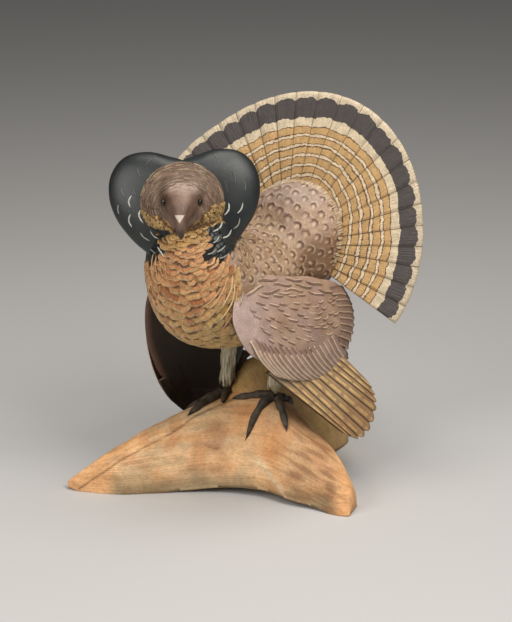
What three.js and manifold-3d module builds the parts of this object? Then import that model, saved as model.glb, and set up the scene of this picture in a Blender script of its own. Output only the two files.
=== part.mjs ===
// A carved and painted wooden grouse in display, standing on a piece of driftwood.
// Millimetres, +Z up. The bird faces -Y and its left side is +X. Its head and the driftwood are
// both turned by VIEW_TURN to the bird's left.
import * as THREE from "three";
import { mergeVertices } from "three/addons/utils/BufferGeometryUtils.js";
import Module from "manifold-3d";

const wasm = await Module();
wasm.setup();

const DEGREE = Math.PI / 180;
const GAP = 0.35; // clearance left between two pieces that touch
const VIEW_TURN = 42 * DEGREE; // how far the head and the driftwood are turned to the bird's left

// The tail: a half circle of overlapping feathers on a root behind the rump.
const TAIL_ROOT = [6.5, 46, 234];
const TAIL_TURN = 24.5 * DEGREE; // of the fan's face to the bird's left
const TAIL_LEAN = 10 * DEGREE; // of the fan's face upwards
const TAIL_AXIS = 64 * DEGREE; // of the middle feather above the fan's horizontal
const TAIL_SPREAD = 94.5 * DEGREE; // from the middle feather to either end
const TAIL_FEATHERS = 22;
const TAIL_SHORT = 133; // length of the outer feathers
const TAIL_EXTRA = 23; // how much longer the middle ones are
const TAIL_HUB = 16; // radius inside the body where the feathers begin
const TAIL_ROOT_THICK = 9;
const TAIL_TIP_THICK = 3.6;
const TAIL_STEP = 1.3; // how far each feather stands over the next
const TAIL_CROWN = 42 * DEGREE; // how wide the crown of longer feathers is
const TAIL_END_EXTRA = 5; // and how much longer those at the bird's right-hand end are
const TAIL_TIP_ARC = 1.8; // how far the middle of a feather's tip stands past its corners
const TAIL_DISH = 7; // how far the fan's ends are bent forwards
const FLANK = 0.06; // width of the steep flank of a feather, as a share of the feather

// The rump and the tail coverts: a dome on the fan's face, with a flatter one behind it.
const COVERT_LENGTH = 67; // along the middle feather
const COVERT_WIDTH = 54; // across it
const COVERT_FRONT = 42;
const COVERT_BACK = 28;
const COVERT_FULLNESS = 0.85; // under 1 swells the dome towards its rim

// The body is a bent egg: its rings stand on planes that turn about a line across the back.
// Each station: turn of the plane from level (degrees), inner reach, outer reach, half width.
const BEND_LINE = [-5, 300]; // y and z of the line that the planes turn about
const BODY_STATIONS = [
  [4, 40, 117, 38],
  [16, 44, 124, 41],
  [34, 48, 141, 49],
  [54, 46, 159, 56],
  [75, 40, 154, 57],
  [96, 38, 148, 54],
  [113, 40, 136, 46],
  [128, 44, 116, 35],
  [144, 52, 94, 20],
];
const BODY_END_SQUARENESS = 9; // over 2 keeps the egg full until near its ends
const BREAST_TOP = 13; // turn of the first tier's plane
const BREAST_END = 98; // no tiers past this turn
const PLAIN_PLANES = 10; // degrees between the planes of the plain back part
const BREAST_REACH = 150; // from the bend line to the breast
const BREAST_TIER = 15; // length of one tier of breast feathers
const BREAST_RELIEF = 1.6;
const BREAST_SCALLOPS = 10; // feathers round one tier

// The head: a round hood of crown and nape, with the face and bill in front of it.
const HEAD = [-7, -89, 302];
const HOOD_WIDTH = 40; // half width
const HOOD_DEPTH = 36;
const HOOD_HEIGHT = 37;
// Each station of the face: forward, up, half width, half height.
const FACE_STATIONS = [
  [4, 6, 24, 24],
  [20, 10, 22.5, 21],
  [33, 6, 18, 17],
  [42, 0, 12, 12.5],
  [49, -8, 7, 8.5],
  [54, -15, 4, 5.5],
  [55.5, -20, 1.6, 2.6],
];
const EYE_PLACE = [32, 8, 18]; // forward, up, to the side
const EYE_RADIUS = 3;

// The neck ruff: a heart-shaped collar, open at the throat.
const RUFF_LEAN = 18 * DEGREE; // of its face upwards
const RUFF_TILT = 2.5 * DEGREE; // its left lobe is carried a little higher
const RUFF_SHIFT = 2; // of its middle from the head's, to the side
const RUFF_HUB = 24; // radius inside the neck where it begins
const RUFF_OPEN = 157; // degrees from the notch round to either end
// Each station: degrees from the notch, reach.
const RUFF_OUTLINE = [
  [0, 39],
  [18, 46],
  [36, 60],
  [52, 71],
  [68, 74],
  [84, 71.5],
  [100, 67],
  [116, 62.5],
  [134, 60],
  [150, 59],
  [157, 55],
];
const RUFF_THICK = 13;
const RUFF_EDGE = 1.6;
const RUFF_DISH = 9; // how far the rim bends back

// The wings. A wing is laid out on the plane of y and z, and its outer face bulges along x.
const WING_MIDDLE = [-12, 175]; // y and z of the middle of the coverts
const WING_OUT = 82; // reach of the coverts from the bird's middle
const WING_FLARE = 0.22; // how fast the wing stands off the body towards its lower edge
// The outline of the covert shield round its middle: degrees from rearward, reach.
const SHIELD_OUTLINE = [
  [0, 84],
  [18, 76],
  [45, 55],
  [95, 50],
  [136, 77],
  [152, 82],
  [165, 83],
  [183, 73],
  [199, 60],
  [235, 46],
  [278, 49],
  [310, 67],
  [324, 76],
  [341, 81],
  [360, 84],
];
const SHIELD_HALF_LENGTH = 85;
const SHIELD_HALF_HEIGHT = 54;
const SHIELD_BULGE = 14; // how far its middle stands out past its rim
const SHIELD_FULLNESS = 0.7; // under 1 crowds the rings towards the rim
const SHIELD_THICK = 13;
const SHIELD_EDGE = 5;
const PRIMARIES = 9;
const PRIMARY_THICK = 4.5;
const PRIMARY_STEP = 1.4;
const PRIMARY_TIP_ARC = 0.03; // share of a primary by which its tip stands past its corners
const PRIMARY_OUT = 71; // reach of the primaries from the bird's middle, at the wing's middle
const PRIMARY_FLARE = 0.11;
// y and z of the bases and tips of the lowest, middle and top primaries.
const PRIMARY_BASES = [
  [-62, 146],
  [-20, 152],
  [22, 158],
];
const PRIMARY_TIPS = [
  [45, 57],
  [63, 46],
  [80, 51],
  [91, 68],
  [91, 82],
  [84, 97],
];
const FAR_WING_SHOULDER = 200; // height below which the right wing is spread
const FAR_WING_DROOP = 56; // how much lower it is spread
const FAR_WING_RAMP = 75; // over what length the spread sets in, and dies away to the tip
const FAR_WING_TIP = 90; // y of its tip
const FAR_WING_TIP_LIFT = 0.6; // share of the droop that the tip doesn't take
const FAR_WING_BACK = 8; // and how much further back it is held

// The legs: the ankle on the wood, the top inside the belly, and each toe's reach from the ankle
// to the side and back.
const LEGS = {
  left: {
    ankle: [32, 0],
    top: [30, -4, 176],
    toes: [
      { tip: [-11, -34], radius: 5 },
      { tip: [26, -14], radius: 4.8 },
      { tip: [-46, -12], radius: 4.4 },
      { tip: [4, 20], radius: 4 },
    ],
  },
  right: {
    ankle: [-32, -2],
    top: [-22, -7, 176],
    toes: [
      { tip: [-1, -54], radius: 5 },
      { tip: [-21, -38], radius: 4.8 },
      { tip: [15, -22], radius: 4.4 },
      { tip: [2, 20], radius: 4 },
    ],
  },
};
const SHANK_TOP = 9; // half width of the feathered shank where it enters the belly
const SHANK_FOOT = 6.5;
const SOLE_RADIUS = 8.5; // of the pad where the toes meet
const SOLE_HEIGHT = 6;
const CLAW_RADIUS = 2.2;
const TOE_STEPS = 6;

// The driftwood, in its own turned axes. Each station gives the front foot, ridge and back foot
// of one cross-section.
const BEAM = [
  [[-182, -33, 3], [-182, -31, 8], [-181, -29, 3]],
  [[-168, -39, 0], [-162, -36, 25], [-160, -22, 0]],
  [[-131, -47, 0], [-130, -32, 45], [-126, -8, 0]],
  [[-100, -45, 0], [-100, -23, 61], [-95, 4, 0]],
  [[-62, -43, 3], [-64, -8, 74], [-60, 20, 2]],
  [[-22, -46, 7], [-24, 8, 83], [-18, 36, 6]],
  [[10, -56, 8], [8, -3, 91], [28, 28, 8]],
  [[35, -74, 6], [29, -20, 89], [54, 0, 6]],
  [[60, -87, 3], [51, -39, 69], [74, -22, 2]],
  [[75, -97, 0], [74, -58, 52], [90, -40, 0]],
  [[86, -102, 0], [86, -77, 38], [100, -64, 0]],
  [[94, -103, 1], [97, -89, 22], [102, -80, 1]],
];
const REAR_LIMB = [
  [[-26, -26, 12], [6, -20, 74], [38, -28, 12]],
  [[-34, 10, 6], [0, 8, 92], [38, 2, 8]],
  [[-28, 40, 6], [6, 32, 115], [54, 26, 4]],
  [[0, 70, 3], [27, 58, 102], [76, 52, 2]],
  [[28, 100, 0], [54, 84, 72], [94, 82, 0]],
  [[52, 126, 0], [76, 108, 40], [100, 100, 0]],
  [[76, 136, 2], [88, 122, 14], [97, 112, 2]],
];
const WOOD_FULLNESS = 0.78; // under 1 swells the flanks of the driftwood outwards
const ARCH = 5; // how far the driftwood's underside is hollowed between its feet

const vec = (x, y, z) => new THREE.Vector3(x, y, z);
const { lerp, smoothstep, clamp } = THREE.MathUtils;

// A smooth curve through rows of two or three numbers; t runs from 0 at the first row to 1.
function through(rows) {
  const points = rows.map((row) => vec(row[0], row[1], row[2] ?? 0));
  return new THREE.CatmullRomCurve3(points, false, "catmullrom", 0.5);
}

// The height at x of a smooth line through rows of x and height.
function lookUp(rows, x) {
  const next = rows.findIndex((row) => row[0] > x);
  if (next < 1) return rows.at(next)[1];
  const [x0, y0] = rows[next - 1];
  const [x1, y1] = rows[next];
  const before = rows[Math.max(next - 2, 0)];
  const after = rows[Math.min(next + 1, rows.length - 1)];
  const span = x1 - x0;
  const slope0 = ((y1 - before[1]) / (x1 - before[0])) * span;
  const slope1 = ((after[1] - y0) / (after[0] - x0)) * span;
  const t = (x - x0) / span;
  const ease = t * t * (3 - 2 * t);
  return lerp(y0, y1, ease) + t * (1 - t) * ((1 - t) * slope0 - t * slope1);
}

// A merged geometry as a solid, turned right side out if its faces point inwards.
function solidOf(geometry) {
  const corners = Array.from(geometry.index.array);
  const make = (triVerts) =>
    new wasm.Manifold(
      new wasm.Mesh({
        numProp: 3,
        vertProperties: geometry.getAttribute("position").array,
        triVerts: new Uint32Array(triVerts),
      }),
    );
  const solid = make(corners);
  return solid.volume() > 0 ? solid : make(corners.reverse());
}

// Moves every vertex of a geometry by a function of its place, and closes the seams.
function reshaped(geometry, place) {
  const position = geometry.getAttribute("position");
  const point = vec(0, 0, 0);
  for (let i = 0; i < position.count; i++) {
    point.fromBufferAttribute(position, i);
    const to = place(point);
    position.setXYZ(i, to.x, to.y, to.z);
  }
  geometry.deleteAttribute("normal");
  geometry.deleteAttribute("uv");
  return solidOf(mergeVertices(geometry, 1e-3));
}

// A sheet: a flat box of columns by rows whose two faces are placed by u and v from 0 to 1 and
// by the side, which is 1 on the show face and -1 on the back.
function sheet(columns, rows, place) {
  const box = new THREE.BoxGeometry(1, 1, 1, columns, rows, 1);
  return reshaped(box, (p) => place(p.x + 0.5, p.y + 0.5, Math.sign(p.z)));
}

// A ball whose vertices are placed by how far they are from pole to pole, 0 to 1, by the turn
// round, and by the ring's own radius, which is 0 at the poles.
function ball(around, along, place) {
  const sphere = new THREE.SphereGeometry(1, around, along);
  return reshaped(sphere, (p) => {
    const reach = Math.hypot(p.x, p.z);
    const ring = reach < 1e-6 ? 0 : reach;
    const turn = ring && Math.atan2(p.z, p.x);
    return place(Math.acos(clamp(-p.y, -1, 1)) / Math.PI, turn, ring);
  });
}

// An ellipsoid with its half axes as vectors.
function ellipsoid(centre, axes, around, along) {
  return ball(around, along, (t, turn, ring) =>
    centre
      .clone()
      .addScaledVector(axes[0], ring * Math.cos(turn))
      .addScaledVector(axes[1], ring * Math.sin(turn))
      .addScaledVector(axes[2], -Math.cos(t * Math.PI)),
  );
}

// The head's and the driftwood's turned axes.
const UP = vec(0, 0, 1);
const ASIDE = vec(Math.cos(VIEW_TURN), Math.sin(VIEW_TURN), 0);
const AHEAD = vec(Math.sin(VIEW_TURN), -Math.cos(VIEW_TURN), 0);

// One limb of the driftwood: its rings run over the ridge from foot to foot, then back below.
function limb(stations, around, along) {
  const [front, ridge, back] = [0, 1, 2].map((k) => through(stations.map((row) => row[k])));
  return ball(around, along, (t, turn, ring) => {
    const foot = front.getPoint(t);
    const otherFoot = back.getPoint(t);
    const middle = foot.clone().lerp(otherFoot, 0.5);
    const rise = ring && Math.sin(turn);
    const across = ring && Math.sign(Math.cos(turn)) * Math.abs(Math.cos(turn)) ** WOOD_FULLNESS;
    const p = middle.clone().addScaledVector(foot.clone().sub(middle), across);
    const above = ring ? Math.max(rise, 0) ** WOOD_FULLNESS : 0.5;
    p.addScaledVector(ridge.getPoint(t).sub(middle), above);
    p.z = Math.max(0, p.z + Math.max(-rise, 0) * ARCH * smoothstep(middle.z, 0.5, 4));
    return vec(0, 0, p.z).addScaledVector(ASIDE, p.x).addScaledVector(AHEAD, -p.y);
  });
}

function makeDriftwood() {
  return limb(BEAM, 14, 20).add(limb(REAR_LIMB, 12, 10));
}

// The fan's own axes: out of its show face, across it and up it.
const FAN_OUT = vec(
  Math.sin(TAIL_TURN) * Math.cos(TAIL_LEAN),
  -Math.cos(TAIL_TURN) * Math.cos(TAIL_LEAN),
  Math.sin(TAIL_LEAN),
);
const FAN_ACROSS = vec(Math.cos(TAIL_TURN), Math.sin(TAIL_TURN), 0);
const FAN_UP = FAN_OUT.clone().cross(FAN_ACROSS);

function onFan(radius, angle, out) {
  return vec(...TAIL_ROOT)
    .addScaledVector(FAN_ACROSS, radius * Math.cos(angle))
    .addScaledVector(FAN_UP, radius * Math.sin(angle))
    .addScaledVector(FAN_OUT, out);
}

// Where one column of a row of overlapping feathers lies. A feather has three columns: the steep
// flank that faces away from the middle feathers, the middle of its vane, and its tucked edge.
function onFeathers(u, count, turnAt) {
  const column = Math.round(u * count * 3);
  const feather = Math.floor(column / 3);
  const parts = feather < turnAt ? [0, FLANK, 0.5] : [0, 0.5, 1 - FLANK];
  const across = parts[column % 3];
  const rise = feather < turnAt ? 1 - across : across;
  const edge = across === 0 || feather === count;
  return { at: (feather + across) / count, across, step: edge ? 0 : rise };
}

function tailReach(fromMiddle) {
  const crown = TAIL_EXTRA * Math.exp(-((fromMiddle / TAIL_CROWN) ** 2));
  const end = TAIL_END_EXTRA * smoothstep(fromMiddle / TAIL_SPREAD, 0.6, 0.9);
  return TAIL_SHORT + crown + end;
}

function makeTail() {
  const rows = [0, 0.4, 0.96, 1];
  return sheet(TAIL_FEATHERS * 3, rows.length - 1, (u, v, side) => {
    const { at, across, step } = onFeathers(u, TAIL_FEATHERS, TAIL_FEATHERS / 2);
    const fromMiddle = (1 - 2 * at) * TAIL_SPREAD;
    const row = rows[Math.round(v * (rows.length - 1))];
    const reach = tailReach(fromMiddle) - TAIL_TIP_ARC * (2 * across - 1) ** 2;
    const thick = row === 1 ? TAIL_TIP_THICK / 2 : lerp(TAIL_ROOT_THICK, TAIL_TIP_THICK, row);
    const lift = TAIL_STEP * step * smoothstep(row, 0, 0.4);
    const dish = TAIL_DISH * (fromMiddle / TAIL_SPREAD) ** 2 * row;
    const radius = lerp(TAIL_HUB, reach, row);
    return onFan(radius, TAIL_AXIS + fromMiddle, (side * thick) / 2 + lift + dish);
  });
}

// The slot in the body that the fan's root stands in.
function makeTailSlot() {
  return sheet(18, 1, (u, v, side) => {
    const share = 1 - 2 * u;
    const radius = v ? COVERT_LENGTH + 10 : TAIL_HUB - GAP;
    const extra = Math.sign(share) * (Math.abs(share) === 1 ? GAP / radius : 0);
    const half = (v ? TAIL_ROOT_THICK * 0.8 : TAIL_ROOT_THICK) / 2 + GAP;
    const lift = v ? TAIL_DISH * share ** 2 * 0.5 + (side > 0 ? TAIL_STEP : 0) : 0;
    return onFan(radius, TAIL_AXIS + share * TAIL_SPREAD + extra, side * half + lift);
  });
}

// The covert dome on the fan's face, and the flatter under-tail coverts behind it.
function makeCoverts() {
  const along = onFan(1, TAIL_AXIS, 0).sub(vec(...TAIL_ROOT));
  const aside = FAN_OUT.clone().cross(along);
  return ball(18, 9, (t, turn, ring) => {
    const depth = -Math.cos(t * Math.PI);
    return vec(...TAIL_ROOT)
      .addScaledVector(along, COVERT_LENGTH * ring ** COVERT_FULLNESS * Math.cos(turn))
      .addScaledVector(aside, COVERT_WIDTH * ring ** COVERT_FULLNESS * Math.sin(turn))
      .addScaledVector(FAN_OUT, depth * (depth > 0 ? COVERT_FRONT : COVERT_BACK));
  });
}

// One place on the bent egg: the turn of the ring's plane, the turn round the ring and how far
// the feathers stand out there.
function onBody(plane, turn, relief) {
  const [inner, outer, halfWidth] = [1, 2, 3].map((k) =>
    lookUp(BODY_STATIONS.map((station) => [station[0], station[k]]), plane),
  );
  const first = BODY_STATIONS[0][0];
  const last = BODY_STATIONS.at(-1)[0];
  const fromMiddle = Math.abs((2 * (plane - first)) / (last - first) - 1);
  const round = Math.sqrt(Math.max(0, 1 - fromMiddle ** BODY_END_SQUARENESS));
  const reach = (inner + outer) / 2 + Math.cos(turn) * (((outer - inner) / 2) * round + relief);
  return vec(
    Math.sin(turn) * (halfWidth * round + relief),
    BEND_LINE[0] - Math.cos(plane * DEGREE) * reach,
    BEND_LINE[1] - Math.sin(plane * DEGREE) * reach,
  );
}

// Head to rump, with the tiers of breast feathers: each tier ends in a raised, scalloped edge.
function makeTrunk() {
  const first = BODY_STATIONS[0][0];
  const last = BODY_STATIONS.at(-1)[0];
  const tier = BREAST_TIER / BREAST_REACH / DEGREE;
  const planes = [{ plane: first, step: 0 }];
  for (let plane = BREAST_TOP; plane < BREAST_END; plane += tier) {
    planes.push({ plane: plane - 0.2 * tier, step: 0.7 }, { plane, step: -0.3 });
  }
  for (let plane = BREAST_END + PLAIN_PLANES; plane < last; plane += PLAIN_PLANES) {
    planes.push({ plane, step: 0 });
  }
  planes.push({ plane: last, step: 0 });
  return ball(2 * BREAST_SCALLOPS, planes.length - 1, (t, turn) => {
    const k = Math.round(t * (planes.length - 1));
    const { plane, step } = planes[k];
    const front = smoothstep(Math.cos(turn), -0.4, 0.3);
    const halfFeather = Math.round((turn / Math.PI) * BREAST_SCALLOPS);
    const low = (halfFeather + Math.floor((k + 1) / 2)) % 2 === 0;
    const scallop = step && low ? 0.3 * tier * front : 0;
    return onBody(plane + scallop, turn, step * BREAST_RELIEF * front);
  });
}

// A place in the head's own axes: ahead, up and to its left side.
function onHead(ahead, up, aside) {
  return vec(...HEAD)
    .addScaledVector(AHEAD, ahead)
    .addScaledVector(UP, up)
    .addScaledVector(ASIDE, aside);
}

function makeHead() {
  const hoodAxes = [
    ASIDE.clone().multiplyScalar(HOOD_WIDTH),
    AHEAD.clone().multiplyScalar(HOOD_DEPTH),
    UP.clone().multiplyScalar(HOOD_HEIGHT),
  ];
  const hood = ellipsoid(vec(...HEAD), hoodAxes, 18, 10);
  const line = through(FACE_STATIONS.map(([ahead, up]) => [ahead, up]));
  const girth = through(FACE_STATIONS.map((row) => [row[2], row[3]]));
  const face = ball(10, 10, (t, turn, ring) => {
    const middle = line.getPoint(t);
    const tangent = line.getTangent(t);
    const end = Math.min(1, 3 * ring);
    const size = girth.getPoint(t).multiplyScalar(end);
    const out = Math.sin(turn) * size.y;
    const aside = Math.cos(turn) * size.x;
    return onHead(middle.x - tangent.y * out, middle.y + tangent.x * out, aside);
  });
  return hood.add(face);
}

// The ruff's own axes: out of its face, and up.
const RUFF_OUT = AHEAD.clone().applyAxisAngle(ASIDE, -RUFF_LEAN);
const RUFF_UP = UP.clone().applyAxisAngle(ASIDE, -RUFF_LEAN);

function makeRuff(grow = 0) {
  const rows = [0, 0.5, 0.86, 1];
  return sheet(30, rows.length - 1, (u, v, side) => {
    const share = 1 - 2 * u;
    const fromNotch = Math.abs(share) * RUFF_OPEN;
    const row = rows[Math.round(v * (rows.length - 1))];
    const end = smoothstep(fromNotch, RUFF_OPEN - 14, RUFF_OPEN);
    const reach = lookUp(RUFF_OUTLINE, fromNotch) + grow;
    const radius = lerp(RUFF_HUB - grow, reach, row);
    const round = Math.sqrt((1 - row ** 6) * (1 - 0.8 * end));
    const half = (RUFF_THICK / 2) * round + RUFF_EDGE / 2 + grow;
    const bend = -RUFF_DISH * row ** 2 * (1 - end);
    const extra = Math.abs(share) === 1 ? (share * grow) / radius / DEGREE : 0;
    return onRuff(radius, share * RUFF_OPEN + extra, side * half + bend);
  });
}

function onRuff(radius, degrees, out) {
  const turn = (90 + degrees) * DEGREE + RUFF_TILT;
  return vec(...HEAD)
    .addScaledVector(ASIDE, RUFF_SHIFT + radius * Math.cos(turn))
    .addScaledVector(RUFF_UP, radius * Math.sin(turn))
    .addScaledVector(RUFF_OUT, out);
}

// How far the outer face of the covert shield stands from the bird's middle.
function shieldOut(y, z) {
  const along = (y - WING_MIDDLE[0]) / SHIELD_HALF_LENGTH;
  const up = z - WING_MIDDLE[1];
  return WING_OUT - SHIELD_BULGE * (along ** 2 + (up / SHIELD_HALF_HEIGHT) ** 2) - WING_FLARE * up;
}

function makeShield(grow) {
  return ball(22, 6, (t, turn, ring) => {
    const degrees = (turn / DEGREE + 360) % 360;
    const reach = lookUp(SHIELD_OUTLINE, degrees) * ring ** SHIELD_FULLNESS;
    const y = WING_MIDDLE[0] + reach * Math.cos(turn);
    const z = WING_MIDDLE[1] + reach * Math.sin(turn);
    const out = shieldOut(y, z);
    const deep = Math.sqrt(1 - Math.min(1, ring ** (2 * SHIELD_FULLNESS)) ** 2);
    const side = Math.sign(Math.round(100 * (0.5 - t)));
    const inward = lerp(SHIELD_EDGE / 2, side > 0 ? 0 : SHIELD_THICK, deep);
    const wider = ring * grow;
    const x = out - inward + side * grow;
    return vec(x, y + wider * Math.cos(turn), z + wider * Math.sin(turn));
  });
}

function makePrimaries(grow) {
  const bases = through(PRIMARY_BASES);
  const tips = through(PRIMARY_TIPS);
  const rows = [0, 0.5, 1];
  return sheet(PRIMARIES * 3, rows.length - 1, (u, v, side) => {
    const { at, across, step } = onFeathers(u, PRIMARIES, PRIMARIES);
    const row = rows[Math.round(v * (rows.length - 1))];
    const reach = row * (1 - PRIMARY_TIP_ARC * (2 * across - 1) ** 2);
    const place = bases.getPoint(at).lerp(tips.getPoint(at), reach);
    const half = lerp(PRIMARY_THICK, PRIMARY_THICK * 0.6, row) / 2 + grow;
    const out = PRIMARY_OUT + PRIMARY_FLARE * (WING_MIDDLE[1] - place.y);
    return vec(out + side * half + PRIMARY_STEP * step, place.x, place.y);
  });
}

function makeLeftWing(grow = 0) {
  return makeShield(grow).add(makePrimaries(grow));
}

// The right wing is the left one mirrored, a little further back and spread lower.
function makeRightWing(grow = 0) {
  return makeLeftWing(grow)
    .mirror([1, 0, 0])
    .warp((p) => {
      const low = smoothstep(FAR_WING_SHOULDER - p[2], 0, FAR_WING_RAMP);
      const tip = smoothstep(p[1], FAR_WING_TIP - FAR_WING_RAMP, FAR_WING_TIP);
      p[2] -= FAR_WING_DROOP * low * (1 - FAR_WING_TIP_LIFT * tip);
      p[1] += FAR_WING_BACK;
    });
}

// The height of the driftwood under one point, found by a ray from above.
function heightOn(surface, x, y) {
  const ray = new THREE.Raycaster(vec(x, y, 500), vec(0, 0, -1));
  return ray.intersectObject(surface)[0].point.z;
}

function makeToe(surface, ankle, toe, grow) {
  const points = [];
  for (let k = 0; k <= TOE_STEPS; k++) {
    const share = k / TOE_STEPS;
    const x = ankle[0] + toe.tip[0] * share;
    const y = ankle[1] + toe.tip[1] * share;
    const lift = lerp(toe.radius, CLAW_RADIUS, share) * 0.8;
    points.push(vec(x, y, heightOn(surface, x, y) + lift));
  }
  const line = new THREE.CatmullRomCurve3(points);
  return ball(6, 6, (t, turn, ring) => {
    const tangent = line.getTangent(t);
    const aside = tangent.clone().cross(UP).normalize();
    const over = aside.clone().cross(tangent);
    const radius = (lerp(toe.radius, CLAW_RADIUS, t ** 1.5) + grow) * Math.min(1, 2.2 * ring);
    return line
      .getPoint(t)
      .addScaledVector(aside, radius * Math.cos(turn))
      .addScaledVector(over, radius * Math.sin(turn));
  });
}

function makeLeg(surface, { ankle, top, toes }, grow = 0) {
  const foot = vec(...ankle, heightOn(surface, ...ankle) + SHANK_FOOT / 2);
  const shank = ball(8, 5, (t, turn, ring) => {
    const girth = lerp(SHANK_FOOT, SHANK_TOP, smoothstep(t, 0.1, 1)) + grow;
    const radius = girth * Math.min(1, 2 * ring);
    const end = (2 * t - 1) * grow;
    return foot
      .clone()
      .lerp(vec(...top), t)
      .add(vec(radius * Math.cos(turn), radius * Math.sin(turn), end));
  });
  const spread = SOLE_RADIUS + grow;
  const pad = [vec(spread, 0, 0), vec(0, spread, 0), vec(0, 0, SOLE_HEIGHT + grow)];
  const leg = shank.add(ellipsoid(foot, pad, 8, 5));
  return toes.reduce((whole, toe) => whole.add(makeToe(surface, ankle, toe, grow)), leg);
}

function makeEye(side, grow = 0) {
  const radius = EYE_RADIUS + grow;
  const centre = onHead(EYE_PLACE[0], EYE_PLACE[1], EYE_PLACE[2] * side);
  return ellipsoid(centre, [vec(radius, 0, 0), vec(0, radius, 0), vec(0, 0, radius)], 10, 5);
}

function meshOf(name, solid, color, roughness) {
  const { vertProperties, triVerts } = solid.getMesh();
  const geometry = new THREE.BufferGeometry();
  geometry.setAttribute("position", new THREE.BufferAttribute(vertProperties, 3));
  geometry.setIndex(new THREE.BufferAttribute(triVerts, 1));
  geometry.computeVertexNormals();
  const material = new THREE.MeshStandardMaterial({ color, roughness, metalness: 0 });
  const mesh = new THREE.Mesh(geometry, material);
  mesh.name = name;
  return mesh;
}

const WOOD_TAN = 0xc58f5a;
const FEATHER_BROWN = 0x947a68;
const RUFF_BLACK = 0x2b2f30;
const TAIL_GOLD = 0xc69d66;
const WING_MAUVE = 0x957a70;
const WING_SHADE = 0x3a2b22;
const TOE_DARK = 0x39342e;
const EYE_DARK = 0x1a120c;

const driftwood = makeDriftwood();
const surface = meshOf("driftwood_surface", driftwood, WOOD_TAN, 0.7);
const leftLegRoom = makeLeg(surface, LEGS.left, GAP);
const rightLegRoom = makeLeg(surface, LEGS.right, GAP);
const base = driftwood.subtract(leftLegRoom).subtract(rightLegRoom);
const bodyCuts = [
  makeTailSlot(),
  makeRuff(GAP),
  makeLeftWing(GAP),
  makeRightWing(GAP),
  leftLegRoom,
  rightLegRoom,
  makeEye(1, GAP),
  makeEye(-1, GAP),
];
const bodyWhole = makeTrunk().add(makeCoverts()).add(makeHead());
const body = bodyCuts.reduce((left, cut) => left.subtract(cut), bodyWhole);

const group = new THREE.Group();
group.add(
  meshOf("driftwood_base", base, WOOD_TAN, 0.7),
  meshOf("body", body, FEATHER_BROWN, 0.6),
  meshOf("ruff", makeRuff(), RUFF_BLACK, 0.4),
  meshOf("tail_fan", makeTail(), TAIL_GOLD, 0.6),
  meshOf("left_wing", makeLeftWing(), WING_MAUVE, 0.6),
  meshOf("right_wing", makeRightWing(), WING_SHADE, 0.6),
  meshOf("left_leg", makeLeg(surface, LEGS.left), TOE_DARK, 0.7),
  meshOf("right_leg", makeLeg(surface, LEGS.right), TOE_DARK, 0.7),
  meshOf("left_eye", makeEye(1), EYE_DARK, 0.15),
  meshOf("right_eye", makeEye(-1), EYE_DARK, 0.15),
);

// The origin is on the floor under the middle of the whole object.
const box = new THREE.Box3().setFromObject(group);
const middle = box.getCenter(vec(0, 0, 0));
group.position.set(-middle.x, -middle.y, -box.min.z);

export default group;
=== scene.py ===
import math

import bmesh
import bpy
import numpy as np
from mathutils import Matrix, Vector, noise
from mathutils.bvhtree import BVHTree
from mathutils.kdtree import KDTree


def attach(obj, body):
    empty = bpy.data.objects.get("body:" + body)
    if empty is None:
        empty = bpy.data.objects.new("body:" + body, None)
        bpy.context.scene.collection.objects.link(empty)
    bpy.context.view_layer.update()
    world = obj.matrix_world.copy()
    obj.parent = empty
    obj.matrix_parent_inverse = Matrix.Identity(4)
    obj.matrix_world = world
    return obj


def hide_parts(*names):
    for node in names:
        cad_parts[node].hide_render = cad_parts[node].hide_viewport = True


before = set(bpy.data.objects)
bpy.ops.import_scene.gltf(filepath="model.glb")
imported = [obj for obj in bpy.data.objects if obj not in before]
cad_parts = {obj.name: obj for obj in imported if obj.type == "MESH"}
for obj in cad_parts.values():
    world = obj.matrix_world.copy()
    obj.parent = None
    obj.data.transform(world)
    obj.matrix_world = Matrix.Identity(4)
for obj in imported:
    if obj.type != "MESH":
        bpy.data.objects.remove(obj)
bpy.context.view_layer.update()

# Everything is laid out in millimetres in the bird's own frame, as in the part's source, then
# moved by PLACE and turned into metres.
MM = 0.001
PLACE = np.array([-10.5743, -2.3956, 0.0])
DEGREE = math.pi / 180
VIEW_TURN = 42 * DEGREE
VIEW_RISE = 18 * DEGREE
UP = np.array([0.0, 0.0, 1.0])
ASIDE = np.array([math.cos(VIEW_TURN), math.sin(VIEW_TURN), 0.0])
AHEAD = np.array([math.sin(VIEW_TURN), -math.cos(VIEW_TURN), 0.0])
VIEW = AHEAD * math.cos(VIEW_RISE) + UP * math.sin(VIEW_RISE)
VIEW_UP = np.cross(VIEW, ASIDE)
CAMERA_FAR = 2400
CAMERA_SPAN = 622  # the height that the picture takes in, at the aim
CAMERA_PLACE = ASIDE * 4.0 + VIEW_UP * 165.6 + VIEW * CAMERA_FAR
RUFF_STEP = 0.954  # mm of the ruff for each step of the crescents' rows

TAIL_ROOT = np.array([6.5, 46.0, 234.0])
TAIL_TURN = 24.5 * DEGREE
TAIL_LEAN = 10 * DEGREE
TAIL_AXIS = 64 * DEGREE
TAIL_SPREAD = 94.5 * DEGREE
TAIL_FEATHERS = 22
TAIL_HUB = 16  # how far from the root the carved feathers start
TAIL_EDGE = 31  # how far in from the tips the dark outer bands end
BAND_DEPTH = 120  # how far in from the tips the colour bands are laid out
FEATHER_COLUMNS = 12  # faces across each feather of the tail and below the wings
COVERT_LENGTH = 67
COVERT_WIDTH = 54
COVERT_FRONT = 42
COVERT_BACK = 28

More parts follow.
